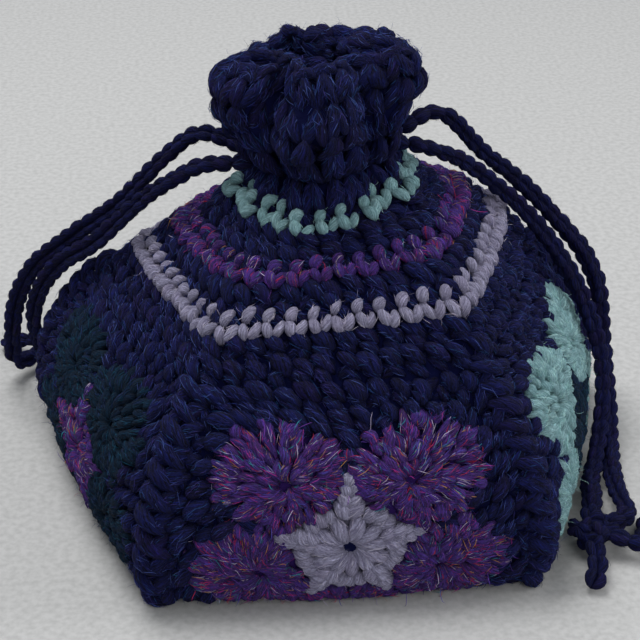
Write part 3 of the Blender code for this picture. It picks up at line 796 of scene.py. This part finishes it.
def stitch_frames(lower, upper, closed=True, pitch=PITCH, shift=0.0):
    """Places of the stitches of a row, equally spaced by distance along its
    middle: centre of the lower edge, and the vectors u, v and w."""
    share = np.linspace(0, 1, 721)
    middle = (lower(share) + upper(share)) / 2
    along = distance_along(middle)
    count = max(1, int(round(along[-1] / pitch)))
    at = (np.arange(count) + 0.5 + shift) / count * along[-1]
    half = along[-1] / count / 2
    low, high = np.array(at - half), np.array(at + half)
    if closed:
        at, low, high = (x % along[-1] for x in (at, low, high))
    s = np.interp(at, along, share)
    ends = [np.stack([np.interp(x, along, middle[:, k]) for k in range(3)], -1)
            for x in (low, high)]
    u = unit(ends[1] - ends[0]) * 2 * half
    base = lower(s)
    v = upper(s) - base
    return base, u, v, unit(np.cross(u, v)), s


def work(frames, pattern, jitter=1.0, lift=0.0, keep=slice(None)):
    """Multiply a stitch pattern out over a row's frames: a control point is
    base + u U + v V + w W.  Each pattern strand has its half-width and
    thickness after its four control points."""
    base, u, v, w = (array[keep] for array in frames[:4])
    count = len(base)
    made = []
    for points, wide, thick in pattern:
        shift = np.array(points, float)[None] + jitter * rng.normal(
            0, 1, (count, 1, 3)) * STRAND_DRIFT
        shift = shift + jitter * rng.normal(0, 1, (count, 4, 3)) * POINT_DRIFT
        controls = (base[:, None] + shift[..., 0:1] * u[:, None] + shift[..., 1:2] * v[:, None]
                    + (shift[..., 2:3] + lift) * w[:, None])
        size = 1 + 0.09 * jitter * rng.normal(0, 1, count)
        made.append(strands(controls, w, wide * size, thick * size))
    return made


# %% [markdown]
# ## Stitch patterns
#
# Three stitches cover the bag.  A plain round shows, for each stitch, a loop
# that leans over to the right and a shorter strand tucked beneath it.  On
# the coloured stripes the same stitch reads as a small heart with a flame
# above it, because the next round, in navy, hides the rest.  A third strand
# of the plain stitch crosses deep under the other two and fills the gaps,
# and a fill pattern does the same behind the hearts.  On the neck the
# fabric is turned so that its stitches read as stacked letters V.

# %% Patterns
PLAIN = (
    (((-0.54, 0.98, -0.0012), (-0.3, 0.98, 0.0022), (0.2, 0.62, 0.0022), (0.54, 0.22, -0.0012)),
     0.0024, 0.002),
    (((-0.46, 0.46, -0.0014), (-0.16, 0.44, 0.0013), (0.16, 0.16, 0.0013), (0.44, -0.16, -0.0014)),
     0.00195, 0.0017),
    (((0.55, 0.9, -0.002), (0.22, 0.66, 0.0001), (-0.18, 0.28, 0.0001), (-0.5, 0.02, -0.002)),
     0.00195, 0.0015),
)
STRIPE = (
    (((-0.26, 0.58, -0.0006), (-0.4, 0.84, 0.0024), (-0.28, 1.14, 0.0024), (0.0, 1.32, -0.0012)),
     0.00195, 0.0019),
    (((-0.36, 0.76, -0.0008), (-0.38, 0.4, 0.0032), (-0.2, 0.1, 0.0032), (0.02, -0.14, -0.0006)),
     0.0018, 0.0019),
    (((0.35, 0.7, -0.0008), (0.34, 0.34, 0.0032), (0.18, 0.06, 0.0032), (0.0, -0.16, -0.0006)),
     0.00172, 0.00185),
)
FILL = (
    (((-0.62, 1.02, -0.0022), (-0.2, 0.96, 0.0004), (0.24, 0.72, 0.0004), (0.6, 0.4, -0.0022)),
     0.0021, 0.0017),
    (((-0.55, 0.3, -0.0024), (-0.2, 0.5, -0.0004), (0.2, 0.2, -0.0004),
      (0.55, -0.1, -0.0024)), 0.0018, 0.0015),
)
LEG = ((-0.5, 1.15, -0.0012), (-0.5, 0.66, 0.002), (-0.28, 0.26, 0.002), (-0.02, -0.18, -0.001))
MIRRORED_LEG = tuple((-u, v, w) for u, v, w in LEG)
VEES = ((LEG, 0.00215, 0.0019), (MIRRORED_LEG, 0.00215, 0.0019))
SIDE_RISE = 0.005


def rise(turn, run):
    """How far the drawn-up rounds lie above their even places: a height
    times (sin squared of the turn less a quarter), most at the mint
    stripe and nothing from the purple stripe down or the neck up."""
    share = np.interp(run, (PURPLE_RUN, MINT_RUN, FRILL_RUN, NECK_RUN), (0.0, 1.0, 0.8, 0.0))
    return share * SIDE_RISE * (np.sin(turn + 0.17) ** 2 - 0.25)


def round_edge(run, depth=LAID_DEPTH, way=1):
    """Closed line round the bag at a run, as a function of a share.  A way
    of -1 runs the other way round, so that stitches face the inside."""
    def line(share):
        turn = way * 2 * math.pi * share - HALF_SIDE
        return skin(turn, run + rise(turn, run), depth)
    return line


def rounds(start, end, count, pattern, pitch=PITCH, lift=0.0, **more):
    """Several rounds of stitches between two runs."""
    edges = np.linspace(start, end, count + 1)
    made = []
    for k, (low, high) in enumerate(zip(edges, edges[1:])):
        frames = stitch_frames(round_edge(low), round_edge(high), pitch=pitch, shift=0.5 * (k % 2))
        made += work(frames, pattern, lift=lift, **more)
    return made


# %% Shoulder rounds and stripes
dress("shoulder_lower_stitches", rounds(PANEL_RUN, LILAC_RUN, 2, PLAIN, jitter=1.4),
      "navy", "shoulder_lower_rounds")
dress("lilac_stripe_stitches", rounds(LILAC_RUN, MIDDLE_RUN, 1, STRIPE),
      "lilac", "lilac_stripe_round")
dress("shoulder_middle_stitches", rounds(MIDDLE_RUN, PURPLE_RUN, 1, PLAIN, jitter=1.4)
      + rounds(LILAC_RUN, MIDDLE_RUN, 1, FILL), "navy", "shoulder_middle_rounds")
dress("purple_stripe_stitches", rounds(PURPLE_RUN, UPPER_RUN, 1, STRIPE),
      "purple", "purple_stripe_round")
dress("shoulder_upper_stitches", rounds(UPPER_RUN, MINT_RUN, 2, PLAIN, jitter=1.4)
      + rounds(PURPLE_RUN, UPPER_RUN, 1, FILL) + rounds(MINT_RUN, FRILL_RUN, 1, FILL),
      "navy", "shoulder_upper_rounds")
dress("mint_stripe_stitches", rounds(MINT_RUN, FRILL_RUN, 1, STRIPE, pitch=0.0074, lift=0.0008),
      "mint", "mint_stripe_round")
print("rounds:", {k: v for k, v in TRIANGLES.items() if "stitches" in k})

# %% [markdown]
# ## Neck and frill
#
# Above the mint stripe the fabric is drawn together and opens again in a
# frill.  Outside it shows columns of V stitches.  Inside, rows run the other
# way round so that their stitches face the hole, and three rows of loops lie
# on the rim and just inside it.

# %% Neck and frill
INNER_DEPTH = FABRIC - 0.0016
RIM_LOOP = (
    (((-0.7, 0.3, -0.0012), (-0.3, 0.75, 0.0016), (0.3, 0.75, 0.0016), (0.62, 0.28, -0.0012)),
     0.0022, 0.0019),
    (((-0.2, -0.1, -0.001), (-0.05, 0.35, 0.0012), (0.3, 0.4, 0.0012), (0.6, 0.05, -0.001)),
     0.0019, 0.0017))
# Each row of rim loops: its two edges' depths, and how far below the rim.
RIM_ROWS = ((0.001, 0.005, 0.0), (0.0042, 0.0088, 0.0015), (0.008, 0.012, 0.0045))
CRUMPLE = 0.0016


def crumple(parts):
    """Uneven lumps above the neck: points moved by a size times sines of
    their own place, one wave in about 35 mm."""
    def moved(place):
        x, y, z = place[..., 0], place[..., 1], place[..., 2]
        ways = np.stack([np.sin(190 * z + 150 * x + 1.0), np.sin(170 * x - 210 * z + 2.0),
                         np.sin(160 * y + 180 * x - 0.6)], -1)
        grown = CRUMPLE * ease(z, NECK_LEVEL - 0.004, 0.014)
        return place + grown[..., None] * ways
    return [(moved(part[0]), *part[1:5], (moved(part[5][0]), *part[5][1:])) for part in parts]


neck = rounds(FRILL_RUN, NECK_RUN, 1, VEES, pitch=0.0062)
for piece, line in CORDS.values():
    inside = line[0] * (0.5, 0.5, 1.0) + (0.0, 0.0, 0.001)
    neck += chain_links(np.linspace(inside, line[0], 12))
dress("neck_stitches", neck, "navy", "gathered_neck_rounds")

frill = rounds(NECK_RUN, RIM_RUN, 4, VEES, pitch=0.0066)
inner_runs = np.linspace(NECK_RUN + 0.002, RIM_RUN, 5)
for low, high in zip(inner_runs, inner_runs[1:]):
    frill += work(stitch_frames(round_edge(low, INNER_DEPTH, -1),
                                round_edge(high, INNER_DEPTH, -1)), PLAIN)
for shallow, deep, drop in RIM_ROWS:
    frames = stitch_frames(round_edge(RIM_RUN - drop, shallow),
                           round_edge(RIM_RUN - drop, deep), pitch=0.0064)
    frill += work(frames, RIM_LOOP, jitter=1.6)
dress("frill_stitches", crumple(frill), "navy", "open_frill")
print("frill: %d triangles" % TRIANGLES["frill_stitches"])

# %% [markdown]
# ## Flower panels
#
# A panel begins at its middle: a ring of stitches drawn into one hole, with
# a spike between each two petals.  The petals are fans, each worked into one
# gap of the ring below, so their strands spread from a point.  Navy rows
# then square the flower off to a pentagon.

# %% Strands laid on a panel
def laid(side, start, end, wide, thick, arch=0.0014, sink=0.0012, bow=0.0):
    """Strands between flat points start and end: control points at thirds
    of the way, pushed sideways by bow, their depth less by arch in the
    middle and more by sink at the ends."""
    share = np.array([0.0, 1 / 3, 2 / 3, 1.0])[None, :, None]
    flat = start[:, None] + share * (end - start)[:, None]
    way = unit(end - start)
    across = np.stack([-way[:, 1], way[:, 0]], -1)
    bow = np.broadcast_to(bow, len(start))[:, None, None]
    flat = flat + bow * across[:, None] * np.array([0, 1, 1, 0])[None, :, None]
    flat = flat + rng.normal(0, 0.00022, flat.shape)
    depth = LAID_DEPTH + np.array([sink, -arch, -arch, sink])[None]
    depth = depth + rng.normal(0, 0.0002, (len(start), 1))
    controls = panel_point(side, flat[..., 0], flat[..., 1], depth)
    x, y = flat.mean(axis=1).T
    out = unit(panel_point(side, x, y, 0.0) - panel_point(side, x, y, 0.002))
    size = 1 + 0.08 * rng.normal(0, 1, len(start))
    return strands(controls, out, wide * size, thick * size)


def polar(angle, radius, aside=0.0):
    """Flat point at an angle and a radius, moved sideways by aside."""
    angle, radius, aside = np.broadcast_arrays(np.asarray(angle, float), radius, aside)
    return np.stack([radius * np.cos(angle) - aside * np.sin(angle),
                     radius * np.sin(angle) + aside * np.cos(angle)], -1)


# %% Flower centres
SPIKES = math.pi / 2 + np.arange(SIDES) * 2 * HALF_SIDE
PETALS = SPIKES + HALF_SIDE
RING = np.arange(11) * 2 * math.pi / 11 + 0.2
# Radius at both ends of a spike's V strands, how far aside they start, and
# their half-width.
SPIKE_ROWS = ((0.01, 0.0165, 0.004, 0.0024), (0.0132, 0.0195, 0.0034, 0.0023),
              (0.0164, 0.0225, 0.0027, 0.0021), (0.0192, 0.0258, 0.0016, 0.0019))
SPIKE_END, TOP_SPIKE_END = 0.0205, 0.0258


def flower_centre(side):
    """A ring of strands out of the middle hole, shorter ones over their
    ends, then V strands stacked along each spike, closer at its tip."""
    made = [laid(side, polar(RING, 0.0007), polar(RING, 0.0135), 0.0025, 0.0021,
                 arch=0.0022, sink=0.0026)]
    between = (PETALS[:, None] + np.radians([-13.0, 0.0, 13.0])).ravel()
    made.append(laid(side, polar(between, 0.0095), polar(between, 0.0158), 0.0024, 0.0019))
    short = np.where(SPIKES == SPIKES[0], 1.0, SPIKE_END / TOP_SPIKE_END)
    for low, high, aside, wide in SPIKE_ROWS:
        for sign in (-1, 1):
            made.append(laid(side, polar(SPIKES, high * short, sign * aside),
                             polar(SPIKES, low * short, -sign * 0.0004), wide, 0.0019,
                             arch=0.0026, bow=sign * 0.0006))
    return made


# %% Petals
TOP_REACH = 0.027
OVER_PETAL, UNDER_STAR, PAST_SIDE = 0.0015, 0.0035, 0.04


def star_radius(angle):
    """The star as the stitches show it: only its top spike runs out to the
    full outline, the others end blunt."""
    up = np.abs(np.angle(np.exp(1j * (angle - SPIKES[0])))) < HALF_SIDE
    return np.minimum(centre_radius(angle), np.where(up, TOP_REACH, SPIKE_END))


def fan_reach(ways, focus, petal_way):
    """How far each way from the focus stays inside its petal: the largest
    step whose flat radius is under the petal's outline and over the star's,
    with a little to spare."""
    steps = np.linspace(0.002, 0.032, 61)
    flat = focus[None, None] + steps[None, :, None] * np.stack(
        [np.cos(ways), np.sin(ways)], -1)[:, None]
    radius, angle = np.hypot(flat[..., 0], flat[..., 1]), np.arctan2(flat[..., 1], flat[..., 0])
    off = np.abs((angle - petal_way + math.pi) % (2 * math.pi) - math.pi)
    fits = ((radius < petal_radius(angle) + OVER_PETAL) & (off < HALF_SIDE + PAST_SIDE)
            & (radius > star_radius(angle) - UNDER_STAR))
    fits = np.cumprod(fits, axis=1).astype(bool)
    return steps[np.maximum(fits.sum(axis=1) - 1, 0)]


PETAL_FOCUS = 0.0262
# Each fan: shares of the reach where it begins and ends, strands, how far it
# spreads to each side in degrees, and the strands' half-width.
FANS = ((0.5, 1.04, 36, 166, 0.0013), (0.05, 0.46, 15, 172, 0.0015),
        (0.24, 0.66, 19, 168, 0.0017), (0.44, 0.84, 22, 162, 0.0018),
        (0.64, 1.0, 25, 158, 0.0019))


def petals(side):
    """Each petal is five fans about its focus, one over the other: a thin
    one beneath that closes the gaps, short strands round the hole, and
    plump tips along the outline."""
    made = []
    for petal_way in PETALS:
        focus = polar(petal_way, PETAL_FOCUS)
        for low, high, count, spread, wide in FANS:
            ways = petal_way + np.radians(np.linspace(-spread, spread, count))
            ways = ways + rng.normal(0, 0.08, count)
            reach = fan_reach(ways, focus, petal_way)
            low = low * rng.uniform(0.6, 1.3, count)
            high = high * rng.uniform(0.92, 1.05, count)
            out = np.stack([np.cos(ways), np.sin(ways)], -1)
            aside = rng.normal(0, 0.0007, (count, 1)) * out[:, ::-1] * (1, -1)
            keep = reach > 0.0035
            start = focus + (np.maximum(low * reach, 0.0012))[:, None] * out
            end = focus + (high * reach)[:, None] * out
            made.append(laid(side, (start - aside)[keep], (end + aside)[keep], wide, 0.0018,
                             arch=0.0026, sink=0.0018, bow=rng.normal(0, 0.001, keep.sum())))
    return made


# %% Border rows
ROW_HEIGHT = 0.0074


def border_edge(side, inset):
    """Pentagon line of a panel at an inset, clockwise seen from outside."""
    def line(share):
        angle = math.pi / 2 - 2 * math.pi * share
        flat = polar(angle, edge_radius(angle, inset))
        return panel_point(side, flat[..., 0], flat[..., 1], LAID_DEPTH)
    return line


def border(side):
    """Two full rows, a broken one between the petals, and long strands
    that reach down between the petals."""
    made = []
    for row in range(3):
        inset = row * ROW_HEIGHT + 0.0006
        frames = stitch_frames(border_edge(side, inset + ROW_HEIGHT),
                               border_edge(side, inset), shift=0.3 * row)
        angle = math.pi / 2 - 2 * math.pi * frames[4]
        middle = edge_radius(angle, inset + ROW_HEIGHT / 2)
        keep = middle > petal_radius(angle) - 0.004
        made += work(frames, PLAIN, jitter=1.4, keep=keep)
    for aside in (-0.0022, 0.0022):
        made.append(laid(side, polar(SPIKES, 0.0215, aside * 0.5),
                         polar(SPIKES, 0.033, aside), 0.0021, 0.0018,
                         arch=0.0016))
    return made


# %% Seams between panels
SEAM_WIDTH = 0.0095
SEAM = (
    (((-0.66, -0.06, -0.001), (-0.26, 0.2, 0.0066), (0.1, 0.66, 0.0066),
      (0.52, 1.04, -0.001)), 0.00265, 0.00245),
    (((-0.34, 1.02, -0.001), (-0.02, 0.82, 0.004), (0.22, 0.36, 0.004),
      (0.52, -0.02, -0.001)), 0.00215, 0.00205),
)


def seam(side):
    """A raised row down the seam at the right of a side."""
    turn = (2 * side + 1) * HALF_SIDE

    def edge(sign):
        def line(share):
            run = PANEL_RUN * (1 - share) - 0.004 * share
            half = np.interp(run, RUNS, CURVE[:, 0])
            return skin(turn + sign * SEAM_WIDTH / 2 / half, run, LAID_DEPTH)
        return line
    return work(stitch_frames(edge(-1), edge(1), closed=False, pitch=0.0066), SEAM)


SIDE_NAMES = ("front", "right", "rear_right", "rear_left", "left")
PETAL_COLOURS = ("purple", "mint", "purple", "mint", "teal")
CENTRE_COLOURS = ("lilac", "teal", "lilac", "teal", "purple")
for side, side_name in enumerate(SIDE_NAMES):
    dress(side_name + "_flower_centre_stitches", flower_centre(side),
          CENTRE_COLOURS[side], side_name + "_panel_flower_centre")
    dress(side_name + "_petal_stitches", petals(side), PETAL_COLOURS[side],
          side_name + "_panel_petals")
    dress(side_name + "_border_stitches", border(side) + seam(side), "navy",
          side_name + "_panel_border")
    print(side_name, "panel:", TRIANGLES[side_name + "_petal_stitches"], "triangles in its petals")

# %% [markdown]
# ## The fabric beneath
#
# Between plump stitches the eye meets more yarn, never daylight.  One closed
# shell under all the stitches gives that: an outer skin just below them, an
# inner skin for the inside of the bag, joined at the rim.  It is a grid over
# turn and run, and a colour attribute worked out from the same outlines says
# which yarn each point belongs to, in that yarn's lit colour darkened to about
# a fifth: painted shade deep between the stitches.

# %% Shell
# Depth of the shell, and the share of each yarn's lit colour that it keeps: painted shade between
# the stitches.
SHELL_DEPTH, SHELL_PAINTED_SHADE = 0.0028, 0.22
SHELL_TURNS, SHELL_RUNS = 180, 110


def yarn_at(turn, run):
    """Index of the yarn at a place: on a panel the flower centre, petals
    or border, by flat radius and angle, and navy above the panels.  Navy
    in the hole at a flower's middle stands for painted shade of a dark pit."""
    side = np.round(turn / (2 * HALF_SIDE)).astype(int)
    x = np.tan(turn - side * 2 * HALF_SIDE) * panel_width(run) / TAN_HALF
    y = run - PANEL_RUN + PANEL_INRADIUS
    radius, angle = np.hypot(x, y), np.arctan2(y, x)
    petal, centre = (np.array([list(YARN_TONES).index(c) for c in colours])[side % SIDES]
                     for colours in (PETAL_COLOURS, CENTRE_COLOURS))
    found = np.where(radius < petal_radius(angle) - 0.006, petal, 0)
    found = np.where(radius < star_radius(angle) - 0.003, centre, found)
    # Navy in the middle hole is painted shade of a dark pit.
    return np.where((radius < 0.0035) | (run > PANEL_RUN), 0, found)


def shell():
    """Grid of the outer skin up and the inner skin down, with a pole at
    each end, so that it is one closed body, and the colour of each point,
    its yarn's lit colour darkened as painted shade."""
    turns = np.arange(SHELL_TURNS) * 2 * math.pi / SHELL_TURNS
    runs = np.linspace(RUNS[0] + 0.002, RIM_RUN - 0.0015, SHELL_RUNS)
    turn, run = np.meshgrid(turns, np.concatenate([runs, runs[::-1]]))
    depth = np.repeat([SHELL_DEPTH, FABRIC], SHELL_RUNS)
    points = skin(turn, run, depth[:, None])
    grid = np.vstack([points.reshape(-1, 3), [[0, 0, 0.002], [0, 0, FABRIC]]])
    quads, tris = tube_faces(1, 2 * SHELL_RUNS, SHELL_TURNS)
    lit = np.array([tones[1] for tones in YARN_TONES.values()])
    # Lit colours darkened by that share: painted shade on the fabric between stitches.
    colour = np.vstack([lit[yarn_at(turn, run)].reshape(-1, 3), lit[[0, 0]]]) * SHELL_PAINTED_SHADE
    return (grid, quads[:, (0, 3, 2, 1)], tris[:, ::-1], grid * 900, np.zeros(len(grid)),
            None), colour


def shell_material():
    """Wool in the colour of the shell's own attribute, which holds painted
    shade, roughened by noise on object coordinates."""
    made, tree, shader = new_material("wool_beneath", 0.95, 0.1)
    colour = add_node(tree, "Attribute", (-600, 200), attribute_name="yarn_colour_in_painted_shade")
    place = add_node(tree, "TexCoord", (-900, -200))
    lumps = add_node(tree, "TexNoise", (-600, -200), {"Scale": 380, "Detail": 4.0})
    bump = add_node(tree, "Bump", (-300, -200), {"Distance": 0.001})
    wire(tree, (place, "Object", lumps, "Vector"), (lumps, "Fac", bump, "Height"),
         (bump, "Normal", shader, "Normal"), (colour, "Color", shader, "Base Color"))
    return made


shell_arrays, shell_colour_in_painted_shade = shell()
beneath = dress("fabric_beneath_stitches", [shell_arrays], shell_material(), "base_star")
beneath.data.attributes.new("yarn_colour_in_painted_shade", "FLOAT_COLOR", "POINT").data.foreach_set(
    "color", np.hstack([shell_colour_in_painted_shade, np.ones((len(shell_colour_in_painted_shade), 1))]).ravel())
print("shell:", len(beneath.data.polygons), "faces")

# %% [markdown]
# ## Fur
#
# The loose fibres of the chains are already in them.  The fabric gets its
# own now, a piece for each yarn and each part of the bag, in lighter tones
# than the yarn because single fibres catch the light.  A few finer ones
# stand off in all directions, which makes the soft halo round the outline.
# The purple yarn also sheds coarse bright curls of other colours.

# %% Fibres that stand off
def stand_off(names, count, length, radius, curl=0.5):
    """Fibres from random outer points of pieces: control points at thirds
    of a length along the normal, plus a random walk sideways."""
    points, normals = [], []
    for name in names:
        mesh = bpy.data.objects[name].data
        for source, label, found in ((mesh.vertices, "co", points),
                                     (mesh.vertex_normals, "vector", normals)):
            values = np.zeros(len(mesh.vertices) * 3, np.float32)
            source.foreach_get(label, values)
            found.append(values.reshape(-1, 3))
    points, normals = np.vstack(points), np.vstack(normals)
    outside = unit(points - (0.0, 0.0, 0.05))
    open_air = np.einsum("nd,nd->n", normals, outside) > 0.2
    chosen = rng.choice(np.flatnonzero(open_air), count)
    start, out = points[chosen].astype(float), normals[chosen].astype(float)
    long = length * rng.uniform(0.4, 1.5, count)[:, None, None]
    walk = np.cumsum(rng.normal(0, curl, (count, 4, 3)), axis=1)
    walk = walk - walk[:, :1]
    share = np.array([-0.05, 0.33, 0.66, 0.9])[None, :, None]
    return thin_fibres(start[:, None] + long * (share * out[:, None] + 0.5 * walk), radius, 3)


# %% Fibre materials
def fibre_material(name, tones):
    """Thin fibre: one of several colours, by the tint attribute."""
    made, tree, shader = new_material(name, 0.7, 0.2)
    tint = add_node(tree, "Attribute", (-700, 100), attribute_name="tint")
    ramp = colour_ramp(tree, (-450, 100), [(k / len(tones), tone) for k, tone in enumerate(tones)])
    wire(tree, (tint, "Fac", ramp, "Fac"), (ramp, "Color", shader, "Base Color"))
    return made


FIBRE_TONES = {
    "navy": ((0.01, 0.018, 0.12), (0.022, 0.038, 0.23), (0.014, 0.056, 0.19),
             (0.034, 0.028, 0.17), (0.004, 0.006, 0.036), (0.06, 0.095, 0.32)),
    "lilac": ((0.5, 0.45, 0.6), (0.66, 0.62, 0.76), (0.32, 0.29, 0.42)),
    "mint": ((0.36, 0.64, 0.62), (0.5, 0.78, 0.76), (0.2, 0.42, 0.42)),
    "teal": ((0.004, 0.038, 0.088), (0.006, 0.072, 0.135), (0.012, 0.03, 0.13),
             (0.002, 0.016, 0.038)),
    "purple": ((0.1, 0.04, 0.33), (0.15, 0.04, 0.32), (0.4, 0.03, 0.28), (0.08, 0.07, 0.42),
               (0.42, 0.02, 0.07), (0.03, 0.24, 0.32), (0.12, 0.03, 0.22), (0.42, 0.2, 0.05),
               (0.46, 0.4, 0.58), (0.05, 0.02, 0.16)),
}
FIBRES = {colour: fibre_material("loose_fibre_" + colour, tones)
          for colour, tones in FIBRE_TONES.items()}

# %% Fur on each part
FUR = [("shoulder", "navy", ["shoulder_%s_stitches" % k for k in ("lower", "middle", "upper")]),
       ("frill", "navy", ["neck_stitches", "frill_stitches"])]
FUR += [(colour, colour, [colour + "_stripe_stitches"]) for colour in ("lilac", "purple", "mint")]
for side_name, *colours in zip(SIDE_NAMES, ["navy"] * SIDES, PETAL_COLOURS, CENTRE_COLOURS):
    FUR += [("%s_%s" % (side_name, part), colour, ["%s_%s_stitches" % (side_name, part)])
            for part, colour in zip(("border", "petal", "flower_centre"), colours)]
PER_STRAND = {"navy": 15, "lilac": 8, "mint": 8, "teal": 8, "purple": 12}
# Length, radius, rise and wander of the fibres that lie, and length and
# radius of those that stand off; then the same for the purple curls.
LYING, STANDING = (0.0036, 0.000085, 0.0006, 0.4), (0.0021, 0.00004)
LYING_CURLS, STANDING_CURLS = (0.005, 0.00012, 0.0011, 0.9), (0.0022, 0.0001, 0.9)

for name, colour, members in FUR:
    recipes = [recipe for member in members for recipe in RECIPES[member]]
    count = sum(len(recipe[0]) for recipe in recipes)
    per_strand = PER_STRAND[colour] // (2 if name.startswith("rear") else 1)
    fur = [lie_along(recipes, per_strand * count, *LYING),
           stand_off(members, int(1.1 * count), *STANDING)]
    if colour == "purple":
        fur += [lie_along(recipes, 3 * count, *LYING_CURLS),
                stand_off(members, count // 3, *STANDING_CURLS)]
    dress(name + "_fibres", fur, FIBRES[colour])
for name, size in sorted(TRIANGLES.items(), key=lambda pair: -pair[1])[:6]:
    print(name, "has", size, "triangles")
print("object triangles:", sum(TRIANGLES.values()))

# %% [markdown]
# ## Floor and light
#
# The bag stands on a plain pale floor under wide soft lamps, so that its
# colours read as they are.  The floor's faint grain is noise on object
# coordinates.

# %% Floor
def floor_material():
    """Pale stone: two tones mixed by noise."""
    made, tree, shader = new_material("pale_floor", 0.9, 0.5)
    place = add_node(tree, "TexCoord", (-900, 0))
    grain = add_node(tree, "TexNoise", (-650, 0), {"Scale": 420, "Detail": 5})
    ramp = colour_ramp(tree, (-400, 0), ((0.3, (0.39, 0.39, 0.385)),
                                         (0.62, (0.47, 0.47, 0.465))), "LINEAR")
    wire(tree, (place, "Object", grain, "Vector"), (grain, "Fac", ramp, "Fac"),
         (ramp, "Color", shader, "Base Color"))
    return made


ground = bpy.data.meshes.new("floor")
ground.from_pydata([(-3, -3, 0), (3, -3, 0), (3, 5, 0), (-3, 5, 0)], [], [(0, 1, 2, 3)])
ground.materials.append(floor_material())
floor = add_object("floor", ground)


# %% Lamps and world
def soft_lamp(name, place, size, power):
    """Square area lamp aimed at the bag."""
    data = bpy.data.lights.new(name, "AREA")
    data.size, data.energy = size, power
    lamp = add_object(name, data)
    lamp.location = place
    aim_from(lamp, (0, 0, 0.06))


soft_lamp("lamp_over", (-0.3, 0.3, 1.3), 0.8, 15)
soft_lamp("lamp_front", (0.3, -1.2, 1.0), 0.7, 5)
soft_lamp("lamp_side", (1.4, -0.1, 0.7), 0.7, 8)
world = bpy.data.worlds.new("studio")
world.use_nodes = True
background = world.node_tree.nodes["Background"]
background.inputs["Color"].default_value = (0.92, 0.95, 1.0, 1)
background.inputs["Strength"].default_value = 0.38
bpy.context.scene.world = world
bpy.context.scene.view_settings.view_transform = "Standard"
print("lit and ready")
